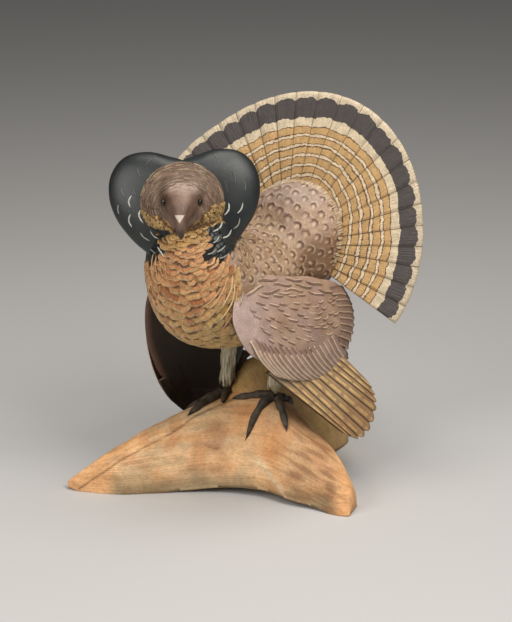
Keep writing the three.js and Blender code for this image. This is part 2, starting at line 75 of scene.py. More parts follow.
# The trunk is an egg bent round a level line. Each station gives the turn round that line in
# degrees, how near the line and how far from it the egg reaches, and half its width.
BEND_LINE = (-5, 300)
BODY_STATIONS = np.array(
    [
        [4, 40, 117, 38],
        [16, 44, 124, 41],
        [34, 48, 141, 49],
        [54, 46, 159, 56],
        [75, 40, 154, 57],
        [96, 38, 148, 54],
        [113, 40, 136, 46],
        [128, 44, 116, 35],
        [144, 52, 94, 20],
    ],
    float,
)
# The valley between the back and the covert dome, as x, y and z.
VALLEY = [
    [-42, 20, 238], [-30, 14, 254], [-8, 9, 262], [8, 9, 262], [22, 11, 257], [34, 14, 249],
    [42, 18, 239], [47, 21, 229],
]
HEAD = np.array([-7.0, -89.0, 302.0])
HOOD = (40, 36, 37)  # half width, depth and height
HOOD_MEAN = 38  # its mean radius, which spaces the strokes
# Along the face to the bill's tip: how far ahead and up, half the width and half the height.
FACE_STATIONS = [
    [4, 4, 21, 22],
    [20, 7, 19, 18],
    [33, 5, 15.5, 15.5],
    [42, 0, 10.5, 12.5],
    [49, -8, 6.2, 8.5],
    [54, -16, 3.6, 5.4],
    [56.5, -23, 1.4, 2.4],
]
# How wide the bill's ridge is painted: how far ahead, and half the width.
BILL_WIDTHS = [[4, 19], [20, 18], [33, 14.5], [42, 10], [49, 6.5], [56, 4]]
EYE_PLACE = (31.2, 8, 17.0)
EYE_RADIUS = 2.6
# Patches on the face as seen from ahead: a painted highlight across the forehead, painted shade in
# the hollows beside the eyes and low on the hood on the bird's right, and darker patches on the
# crown and the lores. Each gives the middle, the reach, the colour and how strong.
FACE_PATCHES_AND_PAINTED_LIGHT = [
    # Painted highlight across the forehead.
    ((2.5, -11), (18, 6.5), "#b09a8d", 0.7),
    # Painted shade in the hollows beside the eyes, deeper on the bird's right.
    ((-17.5, -1), (5.5, 15), "#452f20", 0.85),
    ((19.5, -1), (3.2, 11), "#4c3524", 0.7),
    ((-4, -30), (15, 4), "#5c4433", 0.5),
    ((1, 14), (13, 11), "#5f4637", 0.65),
    # Painted shade low on the hood, on the bird's right.
    ((-28, 5), (9, 12), "#4b3827", 0.5),
]
# The lower edge of the brown hood, above the gold cheeks: how far aside, and how high.
CHEEK_LINE = [
    [-44, -6], [-30, -7], [-20, -7.5], [-12, -12], [-6, -20], [0, -26], [8, -18], [15, -9],
    [23, -2], [31, 2], [44, 2],
]
# The gold cheeks' lower edge as seen from ahead: how far aside, and how far below.
CHEEK_LOW = [
    [-42, 12], [-36, 18], [-29, 23.5], [-20, 26.5], [-11, 29], [0, 36], [14, 30], [23, 27],
    [31, 22], [38, 14], [44, 8],
]
# Where black feathers meet the gold throat and the orange breast, as seen from ahead: how far
# below the head's middle, then how far aside. Beyond THROAT_OUTER the mantle starts.
THROAT_LEFT = [
    [20, -13], [28, -11], [33, -11], [38, -20], [43, -23], [48, -21], [53, -16], [56, -20],
    [59, -36],
]
THROAT_RIGHT = [
    [20, 18], [27, 20], [31, 25], [36, 25], [42, 26], [48, 23], [52, 19], [55, 18], [58, 42],
]
THROAT_OUTER = [[20, 66], [29, 59], [38, 52], [48, 47], [56, 42]]

# The ruff stands round the neck. Its outline gives degrees from the notch at the top and how
# far out it reaches there.
RUFF_LEAN = 18 * DEGREE
RUFF_TILT = 2.5 * DEGREE
RUFF_SHIFT = 2
RUFF_HUB = 24
RUFF_OPEN = 157
RUFF_OUTLINE = [
    [0, 39], [18, 46], [36, 60], [52, 71], [68, 74], [84, 71.5], [100, 67], [116, 62.5],
    [134, 60], [150, 59], [157, 55],
]

# The wing's round shield: its outline gives degrees round its middle and how far it reaches.
WING_MIDDLE = (-12, 175)
WING_OUT = 82
SHIELD_OUTLINE = [
    [0, 84], [18, 76], [45, 55], [95, 50], [136, 77], [152, 82], [165, 83], [183, 73],
    [199, 60], [235, 46], [278, 49], [310, 67], [324, 76], [341, 81], [360, 84],
]
PRIMARIES = 9
PRIMARY_ROOT, PRIMARY_TIP = 4.5, 2.7  # how thick they are
# Where the long feathers start and end, from the front one to the rearmost, as y and z.
PRIMARY_BASES = [[-62, 144], [-20, 152], [22, 158]]
PRIMARY_TIPS = [[43, 54], [62, 45], [80, 51], [91, 68], [91, 82], [84, 97]]

# Where each ankle and each shank's top stand, and each toe's reach from the ankle and girth.
LEGS = {
    "left": {
        "ankle": (32, 0),
        "top": (30, -4, 176),
        "toes": [((-9, -33), 5), ((29.5, -18), 4.8), ((-42, -16), 4.4), ((4, 20), 4)],
    },
    "right": {
        "ankle": (-32, -2),
        "top": (-22, -7, 176),
        "toes": [((-1, -54), 5), ((-21, -38), 4.8), ((15, -22), 4.4), ((2, 20), 4)],
    },
}

# Cross sections along the driftwood's beam and its rear limb: the front foot, the ridge and
# the back foot of each, as places aside, back and up.
BEAM = [
    [[-182, -33, 3], [-182, -31, 8], [-181, -29, 3]],
    [[-168, -39, 0], [-162, -36, 25], [-160, -22, 0]],
    [[-131, -47, 0], [-130, -32, 45], [-126, -8, 0]],
    [[-100, -45, 0], [-100, -23, 61], [-95, 4, 0]],
    [[-62, -43, 3], [-64, -8, 74], [-60, 20, 2]],
    [[-22, -46, 7], [-24, 8, 83], [-18, 36, 6]],
    [[10, -56, 8], [8, -3, 91], [28, 28, 8]],
    [[35, -74, 6], [29, -20, 89], [54, 0, 6]],
    [[60, -87, 3], [51, -39, 69], [74, -22, 2]],
    [[75, -97, 0], [74, -58, 52], [90, -40, 0]],
    [[86, -102, 0], [86, -77, 38], [100, -64, 0]],
    [[94, -103, 1], [97, -89, 22], [102, -80, 1]],
]
REAR_LIMB = [
    [[-26, -26, 12], [6, -20, 74], [38, -28, 12]],
    [[-34, 10, 6], [0, 8, 92], [38, 2, 8]],
    [[-28, 40, 6], [6, 32, 115], [54, 26, 4]],
    [[0, 70, 3], [27, 58, 102], [76, 52, 2]],
    [[28, 100, 0], [54, 84, 72], [94, 82, 0]],
    [[52, 126, 0], [76, 108, 40], [100, 100, 0]],
    [[72, 131, 3], [84, 118, 17], [93, 108, 3]],
]


# Curves and shapes


def smoothstep(x, low, high):
    t = np.clip((x - low) / (high - low), 0, 1)
    return t * t * (3 - 2 * t)


def through(rows, t):
    """Places on a smooth curve through rows; t runs from 0 at the first row to 1."""
    rows = np.array(rows, float)
    rows = np.vstack([2 * rows[0] - rows[1], rows, 2 * rows[-1] - rows[-2]])
    spans = len(rows) - 3
    s = np.clip(np.asarray(t, float), 0, 1) * spans
    i = np.minimum(s.astype(int), spans - 1)
    f = (s - i)[..., None]
    a, b, c, d = rows[i], rows[i + 1], rows[i + 2], rows[i + 3]
    m, n = (c - a) / 2, (d - b) / 2
    return (2 * b - 2 * c + m + n) * f**3 + (3 * c - 3 * b - 2 * m - n) * f**2 + m * f + b


def look_up(rows, x):
    """The height at x of a smooth line through rows of x and height."""
    xs, ys = np.array(rows, float).T
    x = np.clip(x, xs[0], xs[-1])
    i = np.clip(np.searchsorted(xs, x, side="right") - 1, 0, len(xs) - 2)
    before, after = np.maximum(i - 1, 0), np.minimum(i + 2, len(xs) - 1)
    span = xs[i + 1] - xs[i]
    slope0 = (ys[i + 1] - ys[before]) / (xs[i + 1] - xs[before]) * span
    slope1 = (ys[after] - ys[i]) / (xs[after] - xs[i]) * span
    t = (x - xs[i]) / span
    ease = t * t * (3 - 2 * t)
    return ys[i] + (ys[i + 1] - ys[i]) * ease + t * (1 - t) * ((1 - t) * slope0 - t * slope1)


def bell(x, width):
    """1 where x is 0, falling smoothly to nearly 0 at twice the width either way."""
    return np.exp(-((x / width) ** 2))


def unit(v):
    return v / np.maximum(np.linalg.norm(v, axis=-1, keepdims=True), 1e-9)


def along_and_across(flows, normals):
    """Directions along the flows and across them, level with the surface."""
    along = unit(flows - normals * np.sum(flows * normals, axis=-1, keepdims=True))
    return along, np.cross(along, normals)


def placed(start, *steps):
    """Places reached from a start; each step is a direction and how far along it."""
    for way, far in steps:
        start = start + way * np.asarray(far)[..., None]
    return start


def waver(points, size, seed=0.0):
    """Smooth noise from -1 to 1 at points, with features of the given size in mm."""
    return np.array([noise.noise(Vector(p) / size + Vector((seed, seed, seed))) for p in points])


def sheet(columns, rows):
    """A closed flat sheet: x and y from 0 to 1, z at 1 on the show face and -1 on the back."""
    bm = bmesh.new()
    bmesh.ops.create_grid(bm, x_segments=columns, y_segments=rows, size=0.5)
    bmesh.ops.translate(bm, verts=bm.verts, vec=(0.5, 0.5, 1))
    twin = bmesh.ops.duplicate(bm, geom=bm.verts[:] + bm.edges[:] + bm.faces[:])["geom"]
    back = [g for g in twin if isinstance(g, bmesh.types.BMVert)]
    bmesh.ops.translate(bm, verts=back, vec=(0, 0, -2))
    bmesh.ops.reverse_faces(bm, faces=[g for g in twin if isinstance(g, bmesh.types.BMFace)])
    bmesh.ops.bridge_loops(bm, edges=[e for e in bm.edges if e.is_boundary])
    return bm


def ball(around, along):
    bm = bmesh.new()
    bmesh.ops.create_uvsphere(bm, u_segments=around, v_segments=along, radius=1)
    return bm


def spots(bm):
    return np.array([v.co[:] for v in bm.verts])


def ball_coordinates(bm):
    """How far each vertex is from pole to pole, its turn round, and its ring's radius."""
    p = spots(bm)
    ring = np.hypot(p[:, 0], p[:, 1])
    ring[ring < 1e-6] = 0
    turn = np.where(ring > 0, np.arctan2(p[:, 1], p[:, 0]), 0)
    return np.arccos(np.clip(-p[:, 2], -1, 1)) / math.pi, turn, ring


def flock(pattern, count):
    """Copies of one small shape in one mesh, in order."""
    small = bpy.data.meshes.new("small")
    pattern.to_mesh(small)
    pattern.free()
    bm = bmesh.new()
    for _ in range(count):
        bm.from_mesh(small)
    bpy.data.meshes.remove(small)
    return bm


def turn_out(mesh):
    """Recalculates a closed mesh's faces so that they point outwards."""
    bm = bmesh.new()
    bm.from_mesh(mesh)
    bmesh.ops.recalc_face_normals(bm, faces=bm.faces)
    bm.to_mesh(mesh)
    bm.free()


def mesh_of(name, bm, places):
    mesh = bpy.data.meshes.new(name)
    bm.to_mesh(mesh)
    bm.free()
    mesh.vertices.foreach_set("co", np.asarray(places, float).reshape(-1, 3).ravel())
    turn_out(mesh)
    return mesh


def take(joined, bm, places):
    """Adds a closed form to a mesh that is being put together."""
    mesh = mesh_of("form", bm, places)
    joined.from_mesh(mesh)
    bpy.data.meshes.remove(mesh)


def read(mesh, what):
    """The co or the normal of each vertex."""
    values = np.empty(len(mesh.vertices) * 3)
    mesh.vertices.foreach_get(what, values)
    return values.reshape(-1, 3)


def piece(mesh, material, slot, node, **paints):
    mesh.vertices.foreach_set("co", ((read(mesh, "co") + PLACE) * MM).ravel())
    for name, values in paints.items():
        values = np.asarray(values, np.float32)
        if values.shape[-1] == 3:
            layer = mesh.attributes.new(name, "FLOAT_VECTOR", "POINT")
            layer.data.foreach_set("vector", values.reshape(-1, 3).ravel())
        else:
            layer = mesh.attributes.new(name, "FLOAT_COLOR", "POINT")
            layer.data.foreach_set("color", values.reshape(-1, 4).ravel())
    mesh.materials.append(material)
    mesh.shade_smooth()
    made = bpy.data.objects.new(mesh.name, mesh)
    bpy.context.scene.collection.objects.link(made)
    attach(made, "root")
    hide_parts(node)
    return made


# Colours and materials


def linear(code):
    """A linear colour with alpha from an sRGB hex code."""
    parts = [int(code[i : i + 2], 16) / 255 for i in (1, 3, 5)]
    turned = [c / 12.92 if c <= 0.04045 else ((c + 0.055) / 1.055) ** 2.4 for c in parts]
    return (*turned, 1.0)


def blend(low, high, share):
    """Colours between two others, one for each share from 0 to 1."""
    share = np.clip(np.asarray(share, float), 0, 1)[..., None]
    return np.asarray(low) * (1 - share) + np.asarray(high) * share


def tint(low, high, share):
    """Colours between two codes."""
    return blend(linear(low), linear(high), share)


def layers(coat, *rows):
    """A coat with other colours laid over it in turn, each as far as its share."""
    for code, share in rows:
        coat = blend(coat, linear(code), share)
    return coat


def add(tree, kind, inputs=(), stops=(), **settings):
    """Adds a node with its settings, values, colour stops and links, and gives its outputs."""
    made = tree.nodes.new("ShaderNode" + kind)
    for key, value in settings.items():
        setattr(made, key, value)
    for _ in stops[2:]:
        made.color_ramp.elements.new(1.0)
    for i, (at, code) in enumerate(stops):
        made.color_ramp.elements[i].position = at
        made.color_ramp.elements[i].color = linear(code)
    for socket, value in dict(inputs).items():
        if isinstance(value, bpy.types.NodeSocket):
            tree.links.new(value, made.inputs[socket])
        else:
            made.inputs[socket].default_value = value
    return made.outputs


def finish_of(name, roughness):
    """A new material with its shader's constant values, its tree and its place on the piece."""
    material = bpy.data.materials.new(name)
    material.use_nodes = True
    tree = material.node_tree
    shader = tree.nodes["Principled BSDF"]
    shader.inputs["Roughness"].default_value = roughness
    shader.inputs["IOR"].default_value = 1.5
    return material, tree, shader, add(tree, "TexCoord")["Object"]


def between(tree, value, low, high, soft):
    """1 where a value lies between low and high, fading to 0 over soft either way."""
    sides = [
        add(tree, "MapRange", {"Value": value, "From Min": near, "From Max": far})[0]
        for near, far in ((low - soft, low + soft), (high + soft, high - soft))
    ]
    return add(tree, "Math", dict(enumerate(sides)), operation="MULTIPLY")[0]


def swing(tree, place, size, low, high, detail=3.0):
    """Noise with patches of a size in the units of place, spread from low to high."""
    cloud = add(tree, "TexNoise", {"Vector": place, "Scale": 1 / size, "Detail": detail})[0]
    spread = {"Value": cloud, "From Min": 0.3, "From Max": 0.7, "To Min": low, "To Max": high}
    return add(tree, "MapRange", spread)[0]


def shaded(tree, colour, value, low, high, share=1.0):
    """A colour times a shade that runs from low to high as a value runs from 0 to 1."""
    shade = add(tree, "MapRange", {"Value": value, "To Min": low, "To Max": high})[0]
    mixed = {"Factor": share, 6: colour, 7: shade}
    return add(tree, "Mix", mixed, data_type="RGBA", blend_type="MULTIPLY")[2]


def lay(tree, colour, top, *factors):
    """A colour with another laid over it, as far as the factors times each other."""
    share = factors[0]
    for factor in factors[1:]:
        share = add(tree, "Math", {0: share, 1: factor}, operation="MULTIPLY")[0]
    top = linear(top) if isinstance(top, str) else top
    return add(tree, "Mix", {"Factor": share, 6: colour, 7: top}, data_type="RGBA")[2]


def wear(tree, colour, place):
    """Brushed paint: cloudy over a centimetre and mottled over a millimetre and a half."""
    colour = shaded(tree, colour, swing(tree, place, 0.010, 0, 1, 5.0), 0.84, 1.14)
    return shaded(tree, colour, swing(tree, place, 0.0015, 0, 1), 0.86, 1.12)


def join(tree, shader, colour, height, depth):
    """Links the colour, and a height from 0 to 1 that is depth mm deep, to the shader."""
    tree.links.new(colour, shader.inputs["Base Color"])
    made = add(tree, "Bump", {"Height": height, "Distance": depth * MM})
    tree.links.new(made[0], shader.inputs["Normal"])


# Acrylic paint over sealed wood, satin: soft broad highlights, with the brush's fine mottling.
def coat_paint(name, roughness, grit):
    material, tree, shader, place = finish_of(name, roughness)
    coat = add(tree, "Attribute", attribute_name="coat")["Color"]
    grain = swing(tree, place, 0.0011, 0, 1, 4.0)
    join(tree, shader, wear(tree, coat, place), grain, grit)
    return material


# The mantle: the same paint, with a dark arch and a light drop near each carved feather's tip;
# on the hood fine strokes run round the face, and a pale triangle sits on the bill's ridge.
def mantle_paint():
    material, tree, shader, place = finish_of("satin_feather_paint_on_wood", 0.5)
    colour = wear(tree, add(tree, "Attribute", attribute_name="coat")["Color"], place)
    spot = add(tree, "Attribute", attribute_name="spot")["Vector"]
    part = add(tree, "SeparateXYZ", {0: spot})
    along, weight = part[1], part[2]
    flat = add(tree, "VectorMath", {0: spot, 1: (1, 0.9, 0)}, operation="MULTIPLY")[0]
    reach = add(tree, "VectorMath", {0: flat}, operation="LENGTH")["Value"]
    ragged = swing(tree, place, 0.0022, -0.7, 0.7)
    reach = add(tree, "Math", {0: reach, 1: ragged}, operation="ADD")[0]
    tip = add(tree, "MapRange", {"Value": along, "From Min": -2.4, "From Max": 2.0})[0]
    crest = add(tree, "MapRange", {"Value": along, "From Min": -1.0, "From Max": 3.5})[0]
    arch, halo = between(tree, reach, 2.1, 4.1, 0.6), between(tree, reach, 4.8, 6.0, 0.6)
    colour = lay(tree, colour, "#523828", arch, tip, weight, 0.88)
    colour = lay(tree, colour, "#cdb49e", halo, crest, weight, 0.8)
    inner = {0: spot, 1: (1.25, 0.75, 0), 2: (0, 0.7, 0)}
    inner = add(tree, "VectorMath", inner, operation="MULTIPLY_ADD")[0]
    inner = add(tree, "VectorMath", {0: inner}, operation="LENGTH")["Value"]
    colour = lay(tree, colour, "#d8bda4", between(tree, inner, -1, 1.45, 0.5), weight, 0.7)
    hair = add(tree, "Attribute", attribute_name="hair")["Vector"]
    lies = add(tree, "VectorMath", {0: hair, 1: (0.9, 0.11, 0)}, operation="MULTIPLY")[0]
    strands = swing(tree, lies, 1.0, 0, 1, 2.0)
    hood = add(tree, "SeparateXYZ", {0: hair})[2]
    colour = shaded(tree, colour, strands, 0.55, 1.42, hood)
    front = add(tree, "Attribute", attribute_name="front")["Vector"]
    part = add(tree, "SeparateXYZ", {0: front})
    aside, below, bill = part[0], part[1], part[2]
    side = add(tree, "Math", {0: aside, 1: 1.2}, operation="ADD")[0]
    side = add(tree, "Math", {0: side}, operation="ABSOLUTE")[0]
    narrows = {"Value": below, "From Min": 15, "From Max": 24, "To Min": 4.6, "To Max": -1}
    narrows = add(tree, "MapRange", narrows)[0]
    inside = add(tree, "Math", {0: narrows, 1: side}, operation="SUBTRACT")[0]
    inside, lower = between(tree, inside, 0, 99, 0.3), between(tree, below, 15, 99, 0.4)
    colour = lay(tree, colour, "#cfc4b4", inside, lower, bill, 0.9)
    grain = swing(tree, place, 0.0012, 0, 0.35, 4.0)
    relief = {0: strands, 1: hood, 2: grain}
    join(tree, shader, colour, add(tree, "Math", relief, operation="MULTIPLY_ADD")[0], 0.55)
    return material


# Breast feathers: each carved scale has a pale edge at its tip and often a dark bar above it, with
# painted shade over its root where the scale above overlaps it.
def breast_paint():
    material, tree, shader, place = finish_of("satin_breast_feather_paint", 0.55)
    coat = add(tree, "Attribute", attribute_name="coat")["Color"]
    plume = add(tree, "Attribute", attribute_name="plume")["Vector"]
    part = add(tree, "SeparateXYZ", {0: plume})
    across, along, chance = part[0], part[1], part[2]
    barbs = add(tree, "VectorMath", {0: plume, 1: (5.5, 0.8, 60)}, operation="MULTIPLY")[0]
    barbs = swing(tree, barbs, 1.0, 0, 1)
    ragged = swing(tree, place, 0.0016, -0.045, 0.045)
    along = add(tree, "Math", {0: along, 1: ragged}, operation="ADD")[0]
    colour = shaded(tree, wear(tree, coat, place), barbs, 0.74, 1.2)
    # Painted shade over each scale's root, under the tip of the scale above.
    colour = lay(tree, colour, "#4f321b", between(tree, along, -1, 0.58, 0.12), 0.85)
    middle = add(tree, "Math", {0: across}, operation="ABSOLUTE")[0]
    middle = add(tree, "MapRange", {"Value": middle, "From Min": 0.75, "From Max": 0.35})[0]
    often = add(tree, "MapRange", {"Value": chance, "From Min": 0.5, "From Max": 0.75})[0]
    bar = between(tree, along, 0.5, 0.66, 0.05)
    colour = lay(tree, colour, "#4a3524", bar, middle, often, 0.85)
    pale = lay(tree, coat, "#f2d6a4", 0.65)
    edge, worn = between(tree, along, 0.87, 9, 0.04), swing(tree, place, 0.005, 0.1, 1.15)
    join(tree, shader, lay(tree, colour, pale, edge, worn, 0.9), barbs, 0.35)
    return material


# The tail: flat feathers painted in bands that count inwards from each feather's tip.
def tail_paint():
    material, tree, shader, place = finish_of("satin_banded_tail_paint", 0.6)
    quill = add(tree, "Attribute", attribute_name="quill")["Vector"]
    part = add(tree, "SeparateXYZ", {0: quill})
    feather, depth, radius = part[0], part[1], part[2]
    across = add(tree, "Math", {0: feather}, operation="FRACT")[0]
    number = add(tree, "Math", {0: feather}, operation="FLOOR")[0]
    chance = add(tree, "TexWhiteNoise", {"W": number}, noise_dimensions="1D")[0]
    own = add(tree, "MapRange", {"Value": chance, "To Min": -0.45, "To Max": 0.45})[0]
    centred = add(tree, "MapRange", {"Value": across, "To Min": -1.0, "To Max": 1.0})[0]
    side = add(tree, "Math", {0: centred}, operation="ABSOLUTE")[0]
    arch = add(tree, "Math", {0: side, 1: 2.6}, operation="POWER")[0]
    outer = {"Value": depth, "From Min": 16, "From Max": 10, "To Max": -2.6}
    outer = add(tree, "MapRange", outer)[0]
    deep = add(tree, "Math", {0: arch, 1: outer, 2: depth}, operation="MULTIPLY_ADD")[0]
    ripples = swing(tree, place, 0.014, -1.1, 1.1), swing(tree, place, 0.003, -0.75, 0.75)
    for more in (own, *ripples):
        deep = add(tree, "Math", {0: deep, 1: more}, operation="ADD")[0]
    share = add(tree, "Math", {0: deep, 1: 1 / BAND_DEPTH}, operation="MULTIPLY")[0]
    stops = [(0, "#c8b89e"), (4.9, "#433e3f"), (22.2, "#d2c1a4"), (30.3, "#5a4028")]
    at = 31.3
    for _ in range(6):
        stops += [(at, "#c29c68"), (at + 6.4, "#5e4329"), (at + 7.3, "#dcc8aa")]
        stops += [(at + 10.1, "#5e4329")]
        at += 11.1
    stops += [(at, "#6f5439")]
    bands = add(tree, "ValToRGB", {0: share}, [(mm / BAND_DEPTH, code) for mm, code in stops])
    bands[0].node.color_ramp.interpolation = "CONSTANT"
    colour = shaded(tree, bands[0], swing(tree, place, 0.006, 0, 1), 0.86, 1.12)
    dots = swing(tree, place, 0.0011, -1.6, 1.0, 2.0)
    dots = add(tree, "MapRange", {"Value": dots, "To Max": 0.52})[0]
    colour = lay(tree, colour, "#6b5438", dots)
    far = add(tree, "Math", {0: depth, 1: 0.004}, operation="MULTIPLY")[0]
    streaks = swing(tree, add(tree, "CombineXYZ", {0: feather, 1: far})[0], 0.07, 0, 1)
    colour = shaded(tree, colour, streaks, 0.84, 1.13)
    gap = add(tree, "Math", {0: 1.0, 1: side}, operation="SUBTRACT")[0]
    gap = add(tree, "Math", {0: gap, 1: radius}, operation="MULTIPLY")[0]
    line = add(tree, "MapRange", {"Value": gap, "From Min": 7.333, "From Max": 3.333})[0]
    colour = lay(tree, colour, "#33241a", line, swing(tree, place, 0.012, 0.35, 1.0), 0.9)
    join(tree, shader, colour, streaks, 0.45)
    return material


# Flight feathers: golden patches on grey tan, with painted shadow along each feather's free edge
# and where it tucks under the next, and the inner faces' near-black coat as painted shade.
def primary_paint():
    material, tree, shader, place = finish_of("satin_flight_feather_paint", 0.5)
    quill = add(tree, "Attribute", attribute_name="quill")["Vector"]
    coat = add(tree, "Attribute", attribute_name="coat")["Color"]
    part = add(tree, "SeparateXYZ", {0: quill})
    feather, along, inside = part[0], part[1], part[2]
    across = add(tree, "Math", {0: feather}, operation="FRACT")[0]
    number = add(tree, "Math", {0: feather}, operation="FLOOR")[0]
    wave = swing(tree, place, 0.005, -0.5, 0.5)
    for value, factor in ((along, 0.25), (number, 0.7)):
        wave = add(tree, "Math", {0: value, 1: factor, 2: wave}, operation="MULTIPLY_ADD")[0]
    wave = add(tree, "Math", {0: wave}, operation="SINE")[0]
    patch = add(tree, "MapRange", {"Value": wave, "From Min": -0.88, "From Max": -0.6})[0]
    fine = add(tree, "Math", {0: along, 1: 3.0}, operation="MULTIPLY")[0]
    fine = add(tree, "Math", {0: fine}, operation="SINE")[0]
    hatch = add(tree, "MapRange", {"Value": fine, "From Min": -1})[0]
    colour = shaded(tree, linear("#bc9a72"), hatch, 0.82, 1.1)
    inner, worn = between(tree, across, 0.14, 0.46, 0.06), swing(tree, place, 0.002, 0.7, 1.0)
    colour = lay(tree, colour, "#edc688", patch, inner, worn)
    tips = add(tree, "MapRange", {"Value": along, "From Min": 84, "From Max": 108})[0]
    colour = lay(tree, colour, "#8f5f33", tips, 0.45)
    colour = lay(tree, colour, "#60462c", between(tree, across, 0.5, 0.54, 0.03), 0.6)
    root = add(tree, "MapRange", {"Value": along, "From Min": 40, "From Max": 22})[0]
    colour = lay(tree, colour, "#8c7a66", root, 0.8)
    # Painted shadow along each feather's free edge and where it tucks under the next.
    colour = lay(tree, colour, "#3c2b16", between(tree, across, -1, 0.04, 0.025))
    colour = lay(tree, colour, "#4f3a20", between(tree, across, 0.9, 2, 0.05), 0.8)
    # The inner faces take the near-black coat: painted shade.
    colour = lay(tree, colour, coat, inside)
    join(tree, shader, wear(tree, colour, place), swing(tree, place, 0.002, 0, 1), 0.3)
    return material


# Weathered driftwood rubbed with oil: orange-tan, low in contrast, with long fine grain.
def driftwood_finish():
    material, tree, shader, place = finish_of("weathered_oiled_driftwood", 0.6)
    colour = add(tree, "Attribute", attribute_name="coat")["Color"]
    grain = add(tree, "Attribute", attribute_name="grain")["Vector"]
    fibre = add(tree, "VectorMath", {0: grain, 1: (0.035, 0.7, 0.7)}, operation="MULTIPLY")[0]
    fibre = swing(tree, fibre, 1.0, 0, 1, 8.0)
    colour = shaded(tree, colour, fibre, 0.95, 1.04)
    flecks = add(tree, "VectorMath", {0: grain, 1: (0.3, 1.3, 1.3)}, operation="MULTIPLY")[0]
    flecks = swing(tree, flecks, 1.0, -1.4, 1.0)
    flecks = add(tree, "MapRange", {"Value": flecks, "To Max": 0.4})[0]
    colour = lay(tree, colour, "#7d5733", flecks)
    colour = shaded(tree, colour, swing(tree, place, 0.02, 0, 1, 6.0), 0.84, 1.12)
    colour = shaded(tree, colour, swing(tree, place, 0.003, 0, 1), 0.9, 1.08)
    join(tree, shader, colour, fibre, 0.4)
    return material


# Glass eyes: wet black with one sharp highlight.
def eye_gloss():
    material, tree, shader, place = finish_of("polished_dark_glass_eye", 0.22)
    cloud = add(tree, "TexNoise", {"Vector": place, "Scale": 600.0})[0]
    colour = add(tree, "ValToRGB", {0: cloud}, [(0.3, "#050302"), (0.7, "#1c100a")])[0]
    tree.links.new(colour, shader.inputs["Base Color"])
    return material


PAINT = coat_paint("satin_paint_on_wood", 0.52, 0.3)
RUFF_PAINT = coat_paint("satin_black_ruff_paint", 0.38, 0.08)
MANTLE = mantle_paint()
BREAST = breast_paint()
TAIL = tail_paint()
FLIGHT = primary_paint()
WOOD = driftwood_finish()
EYE = eye_gloss()
ON_BODY = {"material": PAINT, "slot": "body_paint", "node": "body"}
ON_BREAST = {"material": BREAST, "slot": "body_paint", "node": "body"}
ON_RUFF = {"material": RUFF_PAINT, "slot": "ruff_paint", "node": "ruff"}
ON_LEG = {
    side: {"material": PAINT, "slot": "leg_paint", "node": side + "_leg"} for side in LEGS
}


# Carved scales and strokes: small closed shapes laid on a surface


def laid(places, normals, flows, x, y, height, bend):
    """Points at x across, y along the flow and height above the surface, at each place."""
    n = unit(normals)
    along, across = along_and_across(flows, n)
    drop = height - (x**2 + y**2) / (2 * bend)
    return placed(places[:, None], (across[:, None], x), (along[:, None], y), (n[:, None], drop))


def scales(name, places, normals, flows, length, width, lift, coat, seed, bend, **where):
    """Overlapping round-tipped feathers; the tip is at the place and the root is buried."""
    count = len(places)
    rng = np.random.default_rng(seed)
    bm = flock(sheet(6, 4), count)
    p = spots(bm).reshape(count, -1, 3)
    u, v, side = 2 * p[..., 0] - 1, p[..., 1], p[..., 2]
    length, width, lift = (np.broadcast_to(k, count)[:, None] for k in (length, width, lift))
    lean = rng.uniform(-0.12, 0.12, (count, 1))
    phase = rng.uniform(0, 6.3, (count, 1))
    x = u * width / 2 * (0.8 + 0.2 * v) + lean * length * v
    y = (v - 1) * length - 0.19 * width * u**2 * v**1.5 + 0.04 * width * np.sin(4 * u + phase) * v
    rise = lift * (0.15 + 0.85 * v**1.6) * (1 - 0.7 * u**4)
    height = rise - 0.9 * (1 - v) + np.where(side > 0, 0.3, -0.3 - 0.8 * lift)
    mesh = mesh_of(name, bm, laid(places, normals, flows, x, y, height, bend))
    chance = np.broadcast_to(rng.random((count, 1)), u.shape)
    tone = rng.uniform(0.86, 1.14, (count, 1, 1))
    paint = np.broadcast_to(coat[:, None], (*u.shape, 4)).copy()
    paint[..., :3] *= tone
    return piece(mesh, plume=np.stack([u, v, chance], axis=-1), coat=paint, **where)


def strokes(name, paths, normals, width, height, coat, **where):
    """Slim raised ridges along paths of several points each."""
    count, steps = paths.shape[:2]
    bm = flock(ball(6, 8), count)
    t, turn, ring = (values.reshape(count, -1) for values in ball_coordinates(bm))
    at = t * (steps - 1)
    i = np.minimum(at.astype(int), steps - 2)
    f = (at - i)[..., None]
    row = np.arange(count)[:, None]
    middle = paths[row, i] * (1 - f) + paths[row, i + 1] * f
    ahead = unit(paths[row, i + 1] - paths[row, i])
    n = np.broadcast_to(unit(normals)[:, None], ahead.shape)
    aside = np.cross(ahead, n)
    fat = np.minimum(1, 1.6 * ring) ** 0.7
    width, height = (np.broadcast_to(k, count)[:, None] for k in (width, height))
    sides = (aside, width / 2 * fat * np.cos(turn)), (n, height * fat * np.sin(turn))
    mesh = mesh_of(name, bm, placed(middle, *sides))
    return piece(mesh, coat=np.broadcast_to(coat[:, None], (*t.shape, 4)), **where)


# The driftwood


def line_depth(aside, rise, rows, width):
    """How near places are to a line of rows, 1 on it and 0 a few widths away."""
    near = np.full(len(aside), 1e9)
    for (a, b), (c, d) in zip(rows, rows[1:]):
        share = ((aside - a) * (c - a) + (rise - b) * (d - b)) / ((c - a) ** 2 + (d - b) ** 2)
        share = np.clip(share, 0, 1)
        near = np.minimum(near, np.hypot(aside - a - share * (c - a), rise - b - share * (d - b)))
    return bell(near, width)


